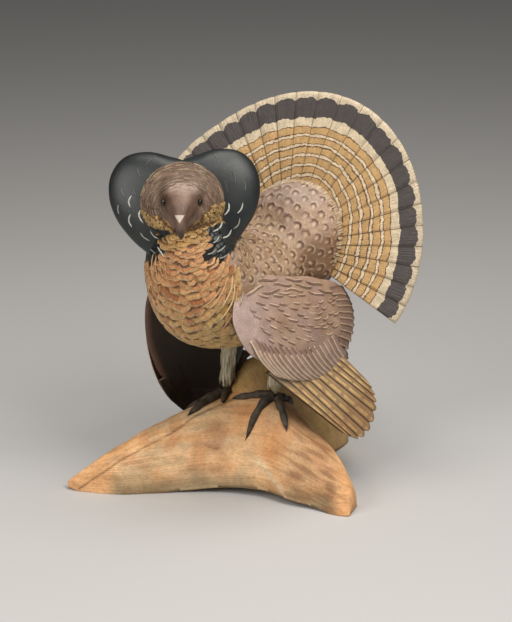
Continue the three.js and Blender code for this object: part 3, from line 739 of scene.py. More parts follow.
# Splits and knots on the front, as seen from ahead: rows of how far aside and how high they
# are, then how wide and how strong.
CRACKS = [
    ([(-171, -10), (-157, 0), (-128, 20), (-99, 36), (-79, 46), (-57, 62), (-31, 74)], 1.0, 1.0),
    ([(-150, 10), (-120, 31), (-92, 47)], 0.9, 0.5),
    ([(-30, 73), (-14, 82), (8, 87)], 1.3, 0.9),
    ([(-46, 34), (-39, 32), (-33, 31)], 1.3, 0.8),
    ([(-60, 25), (-52, 24)], 1.2, 0.5),
    ([(-70, -1), (-50, 1), (-30, 4)], 1.0, 0.5),
    ([(-4, 18), (14, 14)], 1.0, 0.3),
    ([(79, -30), (84, -33)], 2.2, 0.7),
    ([(2, 46), (18, 43)], 0.9, 0.3),
]
BEAM_SEED, REAR_SEED = 1, 2  # each limb draws noise of its own


def limb(stations, around, along, seed):
    """One limb's ball, its places, and its grain and coat at each of them."""
    bm = ball(around, along)
    t, turn, ring = ball_coordinates(bm)
    front, ridge, back = (through([row[k] for row in stations], t) for k in range(3))
    middle = (front + back) / 2
    rise = np.where(ring > 0, np.sin(turn), 0)
    flat = np.where(ring > 0, np.cos(turn), 0)
    square = 0.78 if seed == BEAM_SEED else 0.92
    across = np.sign(flat) * np.abs(flat) ** square
    above = np.where(ring > 0, np.maximum(rise, 0) ** square, 0.5)
    p = middle + (front - middle) * across[:, None] + (ridge - middle) * above[:, None]
    p[:, 2] += np.maximum(-rise, 0) * 5 * smoothstep(middle[:, 2], 0.5, 4)
    rows = np.array([row[1] for row in stations], float)
    length = np.linalg.norm(np.diff(rows, axis=0), axis=1).sum()
    girth = np.linalg.norm(ridge - front, axis=1) + np.linalg.norm(ridge - back, axis=1)
    grain = np.stack([t * length, turn / math.pi * girth, np.full(len(t), seed * 9.0)], axis=1)
    stretched = grain * (0.12, 1, 1)
    outward = unit(p - middle)
    relief = 1.5 * waver(p, 26, seed) + 0.5 * waver(stretched, 5, seed + 3)
    relief += 0.3 * waver(stretched, 2.2, seed + 5) + 0.35 * waver(p, 5, seed + 2)
    relief *= smoothstep(p[:, 2], 0, 6) * smoothstep(ring, 0, 0.3)
    p = p + outward * relief[:, None]
    high = 0.309 * p[:, 1] + 0.951 * p[:, 2]  # as seen from ahead, VIEW_RISE above level
    wobble = 0.5 * waver(p, 9, 3.0)
    cracks = np.zeros(len(t))
    for rows, width, strength in CRACKS if seed == BEAM_SEED else ():
        seen = (flat > -0.3) * smoothstep(p[:, 2], 0, 3)
        here = line_depth(p[:, 0], high + wobble, rows, width) * strength * seen
        cracks = np.maximum(cracks, here)
    p = p - outward * cracks[:, None]
    p[:, 2] = np.maximum(p[:, 2], 0)
    world = p[:, :1] * ASIDE - p[:, 1:2] * AHEAD + p[:, 2:] * UP
    return bm, world, grain, wood_coat(p, high, stretched, wobble, cracks, seed)


def wood_coat(p, high, stretched, wobble, cracks, seed):
    """A limb's ground colours from place to place."""
    cloud = waver(p, 30, 9.0)
    cream = smoothstep(waver(stretched, 11, 12.0) + 0.5 * waver(p, 14, 2.0), 0.0, 0.6)
    rusty = smoothstep(waver(p, 20, 15.0), -0.05, 0.35)
    # turned marks the beam's right side, which takes painted shade and more dark streaks.
    turned = smoothstep(p[:, 0] + 12 * cloud, 12, 60) * smoothstep(95 - p[:, 2], 0, 40)
    low_edge = 1 - smoothstep(p[:, 2] + 8 * waver(p, 22, 4.0), 6, 28)
    ends = smoothstep(np.abs(p[:, 0] + 30), 100, 120)
    dark = smoothstep(waver(stretched, 4, 18.0) + 0.25 * waver(p, 11, 8.0), 0.0, 0.4)
    coat = layers(
        tint("#e9ae74", "#f3c998", 0.5 + 1.2 * cloud),
        ("#dcc19a", cream * (0.25 + 0.4 * smoothstep(p[:, 0], -140, -80))),
        ("#c98350", rusty * 0.45),
        # Painted shade over the right side of the beam.
        ("#aa7a50", 0.6 * turned * smoothstep(92 - p[:, 0], 0, 14)),
        ("#958463", low_edge * (1 - ends) * 0.85),
        ("#f7b97d", 0.65 * ends),
        ("#855a38", dark * (0.22 + 0.42 * turned * (1 - ends))),
    )
    if seed == REAR_SEED:
        grey = smoothstep(p[:, 1] + 8 * wobble, -14, 24)
        coat = layers(
            coat,
            ("#b8955b", 0.85 * grey),
            ("#b4996c", 0.7 * smoothstep(p[:, 1], 60, 100)),
            ("#a98647", 0.6 * grey * smoothstep(waver(p, 18, 6.0), 0, 0.4)),
        )
    streak = line_depth(p[:, 0], high + 2 * wobble, [(6, 20), (30, -9)], 3.0)
    streak = streak * (seed == BEAM_SEED)
    crack = 0.75 * np.clip(cracks, 0, 1) ** 1.6
    return layers(coat, ("#ecd7b4", 0.6 * streak), ("#54351b", crack))


def make_driftwood():
    joined = bmesh.new()
    wood = [limb(BEAM, 150, 230, BEAM_SEED), limb(REAR_LIMB, 110, 110, REAR_SEED)]
    grain, coat = [], []
    for bm, world, lines, paint in wood:
        take(joined, bm, world)
        grain.append(lines)
        coat.append(paint)
    mesh = bpy.data.meshes.new("driftwood")
    joined.to_mesh(mesh)
    surface = BVHTree.FromBMesh(joined)
    joined.free()
    paints = {"grain": np.vstack(grain), "coat": np.vstack(coat)}
    piece(mesh, WOOD, "driftwood", "driftwood_base", **paints)
    return surface


# The body


def on_body(plane, turn, relief=0.0):
    """A place on the bent egg, and the same rule as the solid's."""
    inner, outer, half = (look_up(BODY_STATIONS[:, [0, k]], plane) for k in (1, 2, 3))
    first, last = BODY_STATIONS[[0, -1], 0]
    off = np.abs(2 * (plane - first) / (last - first) - 1)
    full = np.sqrt(np.maximum(0, 1 - off**9))
    reach = (inner + outer) / 2 + np.cos(turn) * ((outer - inner) / 2 * full + relief)
    return np.stack(
        [
            np.sin(turn) * (half * full + relief),
            BEND_LINE[0] - np.cos(plane * DEGREE) * reach,
            BEND_LINE[1] - np.sin(plane * DEGREE) * reach,
        ],
        axis=-1,
    )


def on_head(ahead, up, aside):
    return placed(HEAD, (AHEAD, ahead), (UP, up), (ASIDE, aside))


FAN_OUT = np.array(
    [
        math.sin(TAIL_TURN) * math.cos(TAIL_LEAN),
        -math.cos(TAIL_TURN) * math.cos(TAIL_LEAN),
        math.sin(TAIL_LEAN),
    ]
)
FAN_ACROSS = np.array([math.cos(TAIL_TURN), math.sin(TAIL_TURN), 0.0])
FAN_UP = np.cross(FAN_OUT, FAN_ACROSS)


def on_fan(radius, angle, out):
    across, up = radius * np.cos(angle), radius * np.sin(angle)
    return placed(TAIL_ROOT, (FAN_ACROSS, across), (FAN_UP, up), (FAN_OUT, out))


def make_core():
    """Trunk, covert dome, hood and face, melted into one skin."""
    joined = bmesh.new()
    bm = ball(90, 110)
    t, turn, _ = ball_coordinates(bm)
    first, last = BODY_STATIONS[[0, -1], 0]
    take(joined, bm, on_body(first + t * (last - first), turn))
    bm = ball(72, 48)
    t, turn, ring = ball_coordinates(bm)
    along = on_fan(np.ones(1), np.full(1, TAIL_AXIS), np.zeros(1))[0] - TAIL_ROOT
    aside = np.cross(FAN_OUT, along)
    depth = -np.cos(t * math.pi)
    swell = ring**0.85
    sides = (
        (along, COVERT_LENGTH * swell * np.cos(turn)),
        (aside, COVERT_WIDTH * swell * np.sin(turn)),
        (FAN_OUT, depth * np.where(depth > 0, COVERT_FRONT, COVERT_BACK)),
    )
    take(joined, bm, placed(TAIL_ROOT, *sides))
    bm = ball(64, 48)
    p = spots(bm)
    take(joined, bm, on_head(p[:, 1] * HOOD[1], p[:, 2] * HOOD[2], p[:, 0] * HOOD[0]))
    bm = ball(48, 48)
    t, turn, ring = ball_coordinates(bm)
    rows = np.array(FACE_STATIONS)
    line, girth = through(rows[:, :2], t), through(rows[:, 2:], t)
    tangent = unit(through(rows[:, :2], t + 0.01) - through(rows[:, :2], t - 0.01))
    size = girth * np.minimum(1, 3 * ring)[:, None]
    out, aside = np.sin(turn) * size[:, 1], np.cos(turn) * size[:, 0]
    ahead, up = line[:, 0] - tangent[:, 1] * out, line[:, 1] + tangent[:, 0] * out
    take(joined, bm, on_head(ahead, up, aside))

    mesh = bpy.data.meshes.new("core")
    joined.to_mesh(mesh)
    joined.free()
    rough = bpy.data.objects.new("core", mesh)
    bpy.context.scene.collection.objects.link(rough)
    melt = rough.modifiers.new("melt", "REMESH")
    melt.mode = "VOXEL"
    melt.voxel_size = 1.2  # keeps the skin under 200,000 triangles
    ease = rough.modifiers.new("ease", "SMOOTH")
    ease.iterations = 5
    graph = bpy.context.evaluated_depsgraph_get()
    skin = bpy.data.meshes.new_from_object(rough.evaluated_get(graph))
    bpy.data.objects.remove(rough)
    skin.name = "body_skin"

    # The back runs up into the covert dome without a crease.
    bm = bmesh.new()
    bm.from_mesh(skin)
    line = through(VALLEY, np.linspace(0, 1, 30))
    near = tree_of(line)
    soft = [v for v in bm.verts if near.find(v.co)[2] < 20]
    axes = {"use_axis_x": True, "use_axis_y": True, "use_axis_z": True}
    for _ in range(110):
        bmesh.ops.smooth_vert(bm, verts=soft, factor=1.0, **axes)
    bm.to_mesh(skin)
    bm.free()
    return skin


def tree_of(points):
    tree = KDTree(len(points))
    for i, p in enumerate(points):
        tree.insert(p, i)
    tree.balance()
    return tree


def head_coordinates(p):
    d = p - HEAD
    return d @ AHEAD, d @ UP, d @ ASIDE


def body_turns(p):
    """The plane and the turn of places on the bent egg."""
    y, z = BEND_LINE[0] - p[:, 1], BEND_LINE[1] - p[:, 2]
    plane = np.degrees(np.arctan2(z, y))
    plane = np.where(plane < -90, plane + 360, plane)
    inner, outer, half = (look_up(BODY_STATIONS[:, [0, k]], plane) for k in (1, 2, 3))
    reach = np.hypot(y, z)
    turn = np.arctan2(p[:, 0] / half, (reach - (inner + outer) / 2) / ((outer - inner) / 2))
    return plane, turn


def flow_at(p):
    """Which way the feathers lie: from the head down the body and out over the covert dome."""
    plane, turn = body_turns(p)
    down = on_body(plane + 0.5, turn) - on_body(plane - 0.5, turn)
    d = p - TAIL_ROOT
    out = d - FAN_OUT * (d @ FAN_OUT)[:, None]
    share = smoothstep(p[:, 1] + 0.35 * (p[:, 2] - 250), -8, 22)[:, None]
    return unit(unit(down) * (1 - share) + unit(out + FAN_UP * 12) * share)


def from_front(p):
    """How far places lie aside of the head's middle and below it as seen from ahead."""
    ahead, up, aside = head_coordinates(p)
    return aside, math.sin(VIEW_RISE) * ahead - math.cos(VIEW_RISE) * up


def beside_throat(p, ragged=0.0):
    """1 where black feathers cover the sides of the neck, and 0 elsewhere."""
    across, below = from_front(p)
    across, below = across + ragged, below + ragged
    left = smoothstep(look_up(THROAT_LEFT, below) - across, -1, 1)
    right = smoothstep(across - look_up(THROAT_RIGHT, below), -1, 1)
    right = right * smoothstep(look_up(THROAT_OUTER, below) - across, -1, 1)
    down = smoothstep(below, 19, 21) * (1 - smoothstep(below, 57, 59))
    off_head = (np.linalg.norm(p - HEAD, axis=1) > 41) | (below > look_up(CHEEK_LOW, across))
    front = ((p - HEAD) @ AHEAD > -26) & off_head
    return np.maximum(left, right) * down * front


def body_coat(p):
    """The body's ground colours from place to place."""
    ahead, up, aside = head_coordinates(p)
    plane, turn = body_turns(p)
    cloud = waver(p, 24, 2.0)
    dome = (p - TAIL_ROOT) @ FAN_OUT
    rump = smoothstep(p[:, 1], 0, 25)
    low = smoothstep(p[:, 0] + 0.35 * (250 - p[:, 2]), 38, 54) * rump
    low = low * (1 - smoothstep(p[:, 2] + 6 * cloud, 236, 266))
    mantle = layers(
        tint("#9d8164", "#b4967c", 0.5 + 0.8 * cloud),
        ("#bd9f89", 0.6 * rump),
        ("#ab9189", 0.45 * smoothstep(waver(p, 17, 14.0), 0.05, 0.4)),
        ("#8b6a4a", 0.5 * smoothstep(waver(p, 15, 21.0), 0.05, 0.4)),
        ("#9c887d", 0.8 * smoothstep(p[:, 2] + 8 * cloud, 268, 292) * rump),
        ("#7a5838", 0.85 * low),
        ("#8d775c", (1 - smoothstep(dome, -6, 0)) * rump),
    )
    front = smoothstep(np.cos(turn), -0.05, 0.3) * (1 - rump)
    breast = tint("#c68a5c", "#c2a873", smoothstep(plane, 34, 62))
    breast = blend(breast, linear("#9a9a80"), smoothstep(plane, 80, 100) * (1 - rump))
    colour = blend(mantle, breast, front)
    head_far = np.linalg.norm(p - HEAD, axis=1)
    in_head = np.clip(smoothstep(47 - head_far, 0, 4) + (ahead > 34), 0, 1)
    gold = tint("#95703c", "#bb9250", 0.5 + waver(p, 3.5, 7.0))
    colour = blend(colour, gold, in_head)
    crown = smoothstep(up - look_up(CHEEK_LINE, aside) + 2 * waver(p, 4, 4.0), -1, 1)
    crown = np.where(ahead < -5, smoothstep(up, -12, -4), crown)
    brown = tint("#6c5543", "#866e5d", 0.5 + 0.9 * waver(p, 9, 5.0))
    colour = blend(colour, brown, in_head * crown)
    half = look_up(BILL_WIDTHS, ahead)
    bill = smoothstep(half + 1.5 - np.abs(aside), -1.5, 1.5) * smoothstep(ahead, 24, 30)
    bill *= smoothstep(up + 1.1 * ahead, 24, 32)
    ridge = tint("#72574a", "#856b5e", 0.5 + cloud)
    colour = blend(colour, ridge, bill)
    edge = bill * smoothstep(np.abs(aside) / np.maximum(half, 1), 0.65, 1.05)
    colour = blend(colour, linear("#4f3a2c"), 0.65 * edge)
    across, below = from_front(p)
    ahead_half = in_head * (ahead > 10)
    # Lays the face patches, the painted highlight and the painted shade among them.
    for (x, y), (wide, high), code, share in FACE_PATCHES_AND_PAINTED_LIGHT:
        away = ((across - x) / wide) ** 2 + ((below - y) / high) ** 2
        colour = blend(colour, linear(code), share * np.exp(-(away**1.5)) * ahead_half)
    colour = blend(colour, linear("#1b1f20"), beside_throat(p, 1.5 * waver(p, 5, 9.0)))
    return blend(colour, linear("#3a2b22"), smoothstep(ahead - 0.2 * up, 56, 62))


def feather_tips(p, mantle):
    """Picks places in rows across the back, each at least the spacing from the others."""
    spacing = 11.2
    tier = np.round(-(p @ unit(FAN_UP - FAN_OUT * 0.6)) / 5.5)
    order = np.nonzero(mantle)[0]
    order = order[np.lexsort((p[order] @ FAN_ACROSS, tier[order]))]
    picked = []
    taken = np.zeros(len(p), bool)
    for i in order:
        if not taken[i]:
            picked.append(i)
            taken |= np.linalg.norm(p - p[i], axis=1) < spacing
    return picked


def make_body():
    skin = make_core()
    p, n = read(skin, "co"), read(skin, "normal")
    ahead, up, aside = head_coordinates(p)
    behind = (p[:, 1] > -2) | (np.cos(body_turns(p)[1]) < -0.1)
    dome = (p - TAIL_ROOT) @ FAN_OUT
    head_far = np.linalg.norm(p - HEAD, axis=1)
    mantle = behind & (dome > 4) & (head_far > 50) & (p[:, 2] > 190)
    picked = feather_tips(p, mantle)
    rng = np.random.default_rng(17)
    centres, facing = p[picked], n[picked]
    flows = flow_at(centres) + 0.2 * rng.standard_normal(centres.shape)
    tree = tree_of(centres)
    near = np.array([tree.find(q)[1] for q in p])
    delta = p - centres[near]
    along, across = along_and_across(flows, facing)
    size = rng.uniform(0.85, 1.15, len(centres))[near]
    x = np.sum(delta * across[near], axis=1) / size
    y = np.sum(delta * along[near], axis=1) / size
    strength = rng.uniform(0.65, 1.0, len(centres))[near]
    weight = mantle * smoothstep(head_far, 50, 56) * smoothstep(dome, 6, 12) * strength
    weight = weight * (1 - beside_throat(p))
    reach = np.hypot(x, y * 0.9)
    tip = smoothstep(y, -2.4, 2)
    bumps = 0.5 * bell(np.hypot(x, y + 0.8), 1.8)
    bumps += (0.35 * bell(reach - 5.2, 1.0) - 0.7 * bell(reach - 3.1, 1.1)) * tip
    relief = bumps * weight + (0.5 * waver(p, 14, 1.0) + 0.25 * waver(p, 4, 6.0)) * (head_far > 50)
    sockets = np.hypot(np.abs(aside) - 20.5, (up - 9) * 0.6)
    relief -= 2.4 * bell(sockets, 4.0) * (ahead > 12)
    skin.vertices.foreach_set("co", (p + n * relief[:, None]).ravel())
    spot = np.stack([x, y, weight], axis=1)
    # The hood's strokes run round the face: rings in mm from straight ahead, and round them.
    polar = np.arccos(np.clip(ahead / np.maximum(head_far, 1), -1, 1))
    ring = np.arctan2(up, aside) * HOOD_MEAN * np.sin(polar)
    on_crown = smoothstep(up - look_up(CHEEK_LINE, aside), 0, 3) * smoothstep(polar, 0.4, 0.6)
    hood = on_crown * smoothstep(50 - head_far, 0, 5)
    hair = np.stack([polar * HOOD_MEAN, ring, hood], axis=1)
    across, below = from_front(p)
    front = np.stack([across, below, (ahead > 40).astype(float)], axis=1)
    paints = {"spot": spot, "hair": hair, "front": front, "coat": body_coat(p)}
    return piece(skin, MANTLE, "body_paint", "body", **paints)


def breast_tiers(rng):
    """Planes, turns and sizes of the breast feathers, tier below tier."""
    around = 2 * 98 * DEGREE
    belly = 148  # mm from the bend line to the middle of the belly
    planes, turns, sizes = [], [], []
    plane, tier = 9.0, 0
    while plane < 130:
        size = 4.6 + 3.6 * float(smoothstep(plane, 15, 38)) + 1.6 * float(smoothstep(plane, 55, 95))
        half = float(look_up(BODY_STATIONS[:, [0, 3]], plane))
        count = max(6, int(around * half * 1.2 / (size * 1.75)))
        for j in range(count):
            turn = (j + 0.5 * (tier % 2) + rng.uniform(-0.2, 0.2)) / count - 0.5
            planes.append(plane + rng.uniform(-0.8, 0.8))
            turns.append(turn * around)
            sizes.append(size * rng.uniform(0.85, 1.15))
        plane += size / belly / DEGREE
        tier += 1
    return map(np.array, (planes, turns, sizes))


def make_breast():
    """Tiers of carved breast feathers from the throat to the vent, black beside the throat."""
    rng = np.random.default_rng(3)
    planes, turns, sizes = breast_tiers(rng)
    p = on_body(planes, turns, 0.1)
    down = unit(on_body(planes + 0.5, turns) - on_body(planes - 0.5, turns))
    aside = unit(on_body(planes, turns + 0.02) - on_body(planes, turns - 0.02))
    n = np.cross(down, aside)
    n *= np.sign(np.sum(n * (p - on_body(planes, turns, -5)), axis=1))[:, None]
    splay = 0.75 * np.sin(turns - 30 * DEGREE) * (1 - smoothstep(planes, 60, 90))
    splay = splay + rng.uniform(-0.34, 0.34, len(p))
    flows = down + aside * splay[:, None]
    chance = rng.random(len(p))
    orange = tint("#a9683a", "#d39c6a", chance)
    buff = tint("#c6a468", "#a98955", chance)
    gold = tint("#bf9450", "#9d7638", chance)
    coat = blend(orange, buff, smoothstep(planes + rng.uniform(-9, 9, len(p)), 34, 58))
    dusky = (planes > 84) & (chance > 0.8)
    coat = layers(coat, ("#b0b198", smoothstep(planes, 74, 98)), ("#5c583f", 0.75 * dusky))
    coat = blend(coat, gold, 1 - smoothstep(planes + rng.uniform(-2, 2, len(p)), 14, 20))
    across, below = from_front(p)
    rim = [[46, 60], [58, 49], [74, 56], [94, 56], [110, 53], [125, 200]]
    on_breast = (across < look_up(rim, below) + rng.uniform(-1, 1, len(p))) & (planes < 122)
    sides = [[0, -0.3], [70, -0.2], [100, -0.15], [114, 0.1], [130, 0.6]]
    on_breast &= np.cos(turns) > look_up(sides, planes)
    black = beside_throat(p, rng.uniform(-1.5, 1.5, len(p))) > 0.5
    length, width = sizes * 2.0, sizes * rng.uniform(1.2, 2.6, len(p))
    root = beside_throat(p - flows * length[:, None] * 0.7) > 0.5
    length = np.where(root, length * 0.5, length)
    keep = ~black & on_breast
    parts = [a[keep] for a in (p, n, flows, length, width)]
    scales("breast_feathers", *parts, 1.5, coat[keep], 5, 50.0, **ON_BREAST)
    paint = tint("#111516", "#1c2122", rng.random(black.sum()))
    parts = [a[black] for a in (p, n, flows, length * 1.5, width * 0.75)]
    return scales("throat_side_feathers", *parts, 0.3, paint, 6, 50.0, **ON_RUFF)


# Long pale feathers beside the left wing, then short ones beside the throat: places on the body
# as plane and turn in degrees, and how pale.
SIDE_FEATHERS = [
    ([(36, 88), (39, 84), (42, 77), (44, 66), (45.5, 58)], 0.8),
    ([(35, 80), (38, 74), (40, 65), (42, 54), (42.5, 46)], 0.55),
    ([(41, 85), (44.5, 79), (47, 70), (48.5, 60), (50, 46)], 0.85),
    ([(44, 84), (48, 76), (50.5, 68), (52.5, 56), (55, 38)], 0.6),
    ([(48, 83), (52, 74), (55, 64), (58, 50), (60, 34)], 0.45),
    ([(37, 70), (38.5, 64), (39.5, 56), (40.5, 47), (40.5, 40)], 0.4),
    ([(20, -19), (24, -20), (29, -16)], 0.55),
    ([(20, -12), (24, -11), (30, -6)], 0.4),
    ([(19, -4), (23, -3), (28, 1)], 0.3),
    ([(24, -30), (30, -29), (37, -25)], 0.45),
    ([(21, 4), (25, 6), (30, 10)], 0.2),
    ([(27, -36), (34, -34), (41, -31)], 0.3),
]


def make_side_feathers():
    lines = np.stack([through(path, np.linspace(0, 1, 7)) for path, _ in SIDE_FEATHERS])
    spine = on_body(lines[..., 0], lines[..., 1] * DEGREE, 1.4)
    plane, turn = lines[:, 3, 0], lines[:, 3, 1] * DEGREE
    out = on_body(plane, turn, 6) - on_body(plane, turn, 0)
    tones = np.array([tone for _, tone in SIDE_FEATHERS])
    coat = tint("#b07a48", "#dcc095", tones)
    strokes("breast_side_strokes", spine, out, 2.0, 0.8, coat, **ON_BODY)


def on_hood(polar, turn, lift=0.0):
    """A place on the hood: polar from straight ahead, turn from its left side over the top."""
    w, d, h = (k + lift for k in HOOD)
    return on_head(
        d * np.cos(polar), h * np.sin(polar) * np.sin(turn), w * np.sin(polar) * np.cos(turn)
    )


def settled(surface, places):
    """The nearest places on a surface."""
    flat = (places.reshape(-1, 3) + PLACE) * MM
    hits = [surface.find_nearest(place)[0] for place in flat]
    return (np.array(hits) / MM - PLACE).reshape(places.shape)


def make_hood(skin):
    surface = BVHTree.FromObject(skin, bpy.context.evaluated_depsgraph_get())
    rng = np.random.default_rng(11)
    make_crown(surface, rng)
    make_cheeks(surface, rng)


def make_crown(surface, rng):
    """Fine concentric strokes over the crown."""
    polar, turn = [], []
    ring = 26.0
    while ring < 165:
        count = int(2 * math.pi * HOOD_MEAN * math.sin(ring * DEGREE) / 9)
        for j in range(count):
            at = (j + rng.uniform(-0.4, 0.4)) / max(count, 1) * 360
            if ring > 26 + 14 * max(math.sin(at * DEGREE), 0):
                polar.append(ring + rng.uniform(-1.0, 1.0))
                turn.append(at)
        ring += 2.3
    polar, turn = np.array(polar) * DEGREE, np.array(turn) * DEGREE
    _, up, aside = head_coordinates(on_hood(polar, turn))
    keep = up > look_up(CHEEK_LINE, aside) + 1 + rng.random(len(turn))
    keep &= np.hypot((np.abs(aside) - 18) / 5, (up - 8) / 6) > 1
    polar, turn = polar[keep], turn[keep]
    steps = np.linspace(-0.5, 0.5, 6)[None]
    arc = rng.uniform(6, 12, len(turn)) / (HOOD_MEAN * np.maximum(np.sin(polar), 0.3))
    tilt = 0.03 * rng.standard_normal((len(turn), 1))
    paths = on_hood(polar[:, None] + tilt * steps, turn[:, None] + arc[:, None] * steps, 1.0)
    normals = on_hood(polar, turn, 1) - HEAD
    paths = settled(surface, paths) + 0.08 * unit(normals)[:, None]
    rim = smoothstep(polar, 58 * DEGREE, 82 * DEGREE) * smoothstep(np.sin(turn), -0.1, 0.4)
    chance = rng.random(len(turn))
    coat = tint("#503b2d", "#9c8572", chance)
    coat = blend(coat, linear("#c9b594"), 0.8 * rim * smoothstep(chance, 0.72, 0.85))
    strokes("crown_strokes", paths, normals, 0.65, 0.38, coat, **ON_BODY)


def make_cheeks(surface, rng):
    """Small gold feathers on the cheeks."""
    polar, turn = [], []
    ring = 36.0
    while ring < 112:
        count = int(math.pi * HOOD_MEAN * math.sin(ring * DEGREE) / 3.0)
        for j in range(count):
            polar.append(ring + rng.uniform(-1.2, 1.2))
            turn.append(20 - (j + rng.uniform(0.2, 0.8)) / count * 220)
        ring += 3.4
    polar, turn = np.array(polar) * DEGREE, np.array(turn) * DEGREE
    _, up, aside = head_coordinates(on_hood(polar, turn))
    keep = up < look_up(CHEEK_LINE, aside) - 0.5
    across, below = from_front(on_hood(polar, turn))
    keep &= below < look_up(CHEEK_LOW, across)
    polar, turn = polar[keep], turn[keep]
    p = settled(surface, on_hood(polar, turn, 1.0))
    out = on_hood(polar + 0.02, turn) - on_hood(polar - 0.02, turn)
    coat = tint("#cda463", "#6f4d26", rng.random(len(p)) ** 1.3)
    scales("cheek_feathers", p, p - HEAD, out, 5.2, 3.6, 0.8, coat, 8, 38.0, **ON_BREAST)


def make_eye_lids():
    circle = np.linspace(0, 2 * math.pi, 17)
    paths, normals = [], []
    ahead, up, aside = EYE_PLACE
    for side in (1, -1):
        for half in (circle[:9], circle[8:]):
            x = ahead + 3.2 * np.cos(half)
            z = up + 2.6 * np.sin(half)
            paths.append(on_head(x, z, (aside + 1.0 - 0.35 * (x - ahead)) * side))
            normals.append(ASIDE * side + AHEAD * 0.3)
    coat = np.repeat([linear("#4a3626")], 4, axis=0)
    strokes("eye_lids", np.array(paths), np.array(normals), 0.9, 0.5, coat, **ON_BODY)


# The ruff

RUFF_TURN = Matrix.Rotation(-RUFF_LEAN, 3, Vector(ASIDE))
RUFF_OUT, RUFF_UP = (np.array((RUFF_TURN @ Vector(way))[:]) for way in (AHEAD, UP))


def on_ruff(radius, degrees, out):
    turn = (90 + degrees) * DEGREE + RUFF_TILT
    aside, up = RUFF_SHIFT + radius * np.cos(turn), radius * np.sin(turn)
    return placed(HEAD, (ASIDE, aside), (RUFF_UP, up), (RUFF_OUT, out))


def ruff_face(radius, degrees, side=1.0, lift=0.0):
    """A place on the ruff at a radius from its middle and degrees from the notch."""
    away = np.abs(degrees)
    reach = look_up(RUFF_OUTLINE, away)
    row = np.clip((radius - RUFF_HUB) / (reach - RUFF_HUB), 0, 1)
    end = smoothstep(away, RUFF_OPEN - 14, RUFF_OPEN)
    full = np.sqrt((1 - row**6) * (1 - 0.8 * end))
    half = 6.5 * full + 0.8
    return on_ruff(radius, degrees, side * half - 9 * row**2 * (1 - end) + lift)


def make_ruff():
    bm = sheet(150, 30)
    p = spots(bm)
    degrees = (1 - 2 * p[:, 0]) * RUFF_OPEN
    row = np.sin(p[:, 1] * math.pi / 2) ** 0.9
    reach = look_up(RUFF_OUTLINE, np.abs(degrees))
    radius = RUFF_HUB + (reach - RUFF_HUB) * row
    places = ruff_face(radius, degrees, p[:, 2])
    sheen = tint("#1c2021", "#2d3233", 0.5 + 0.6 * waver(places, 22, 6.0))
    low = smoothstep(from_front(places)[1], -5, 30)
    rim = smoothstep(row, 0.9, 1.0)
    # Painted shade toward the rim, where the collar turns away, and over its lower part.
    coat = layers(sheen, ("#141717", 0.6 * rim), ("#141717", 0.5 * low))
    return piece(mesh_of("ruff_collar", bm, places), coat=coat, **ON_RUFF)


# Pale crescents low on the ruff and faint arcs above, as seen from ahead: places aside of and
# below the ruff's middle, in steps of RUFF_STEP, then how bright.
CRESCENTS = [
    ([(-52, -6), (-56, 0), (-53, 6)], 0.75),
    ([(-53, 12), (-56, 19), (-51, 26)], 0.7),
    ([(-43, 8), (-46, 14), (-40, 22)], 1.0),
    ([(-44, 30), (-40, 36), (-33, 39)], 0.5),
    ([(-34, 28), (-31, 34), (-25, 37)], 0.6),
    ([(-65, 3), (-66, 8), (-64, 13)], 0.4),
    ([(-27, 44), (-19, 56)], 1.0),
    ([(-23, 43), (-17, 50)], 0.4),
    ([(-34, 46), (-28, 52)], 0.35),
    ([(43, 1), (44, 9), (38, 14)], 0.85),
    ([(57, 1), (56, 8), (51, 12)], 0.7),
    ([(37, 19), (35, 27), (27, 30)], 0.85),
    ([(46, 27), (43, 35), (35, 36)], 0.8),
    ([(34, 33), (32, 39), (27, 41)], 0.55),
    ([(54, 16), (53, 24), (47, 27)], 0.45),
    ([(40, 43), (36, 48), (31, 50)], 0.5),
    ([(31, 47), (27, 51), (22, 52)], 0.45),
    ([(44, 50), (39, 55), (33, 56)], 0.4),
    ([(-46, -33), (-46, -28), (-43, -24)], 0.14),
    ([(-62, -16), (-62, -9), (-58, -4)], 0.16),
    ([(-51, -16), (-50, -9), (-47, -5)], 0.14),
    ([(-30, -43), (-36, -39), (-39, -34)], 0.12),
    ([(27, -46), (33, -42), (33, -37)], 0.16),
    ([(46, -30), (50, -24), (49, -17)], 0.13),
    ([(57, -22), (60, -16), (59, -10)], 0.16),
    ([(38, -20), (42, -14), (41, -7)], 0.1),
]


def make_crescents(under):
    """Lays the crescents on whatever shows there from ahead."""
    graph = bpy.context.evaluated_depsgraph_get()
    trees = [BVHTree.FromObject(made, graph) for made in under]
    start = Vector((CAMERA_PLACE + PLACE) * MM)
    steps = np.linspace(0, 1, 7)
    spines, normals, bright = [], [], []
    for rows, tone in CRESCENTS:
        line = through(rows, steps) * RUFF_STEP
        spine, facing = [], []
        for spot in HEAD + ASIDE * (RUFF_SHIFT + line[:, :1]) - VIEW_UP * line[:, 1:]:
            toward = (Vector((spot + PLACE) * MM) - start).normalized()
            hits = [tree.ray_cast(start, toward) for tree in trees]
            hits = [hit for hit in hits if hit[0]]
            if hits:
                place, normal, _, _ = min(hits, key=lambda hit: hit[3])
                spine.append(np.array(place) / MM - PLACE)
                facing.append(np.array(normal))
        if len(spine) == len(steps):
            spines.append(spine)
            normals.append(np.mean(facing, axis=0))
            bright.append(tone)
    spines, normals, bright = map(np.array, (spines, normals, bright))
    for _ in range(3):
        spines[:, 1:-1] = (spines[:, :-2] + spines[:, 1:-1] + spines[:, 2:]) / 3
    spines += 0.3 * unit(normals)[:, None]
    coat = tint("#2a3031", "#cfd2c8", bright)
    where = {**ON_RUFF, "material": PAINT}
    strokes("ruff_crescents", spines, normals, 1.1 + 0.7 * bright, 0.5, coat, **where)


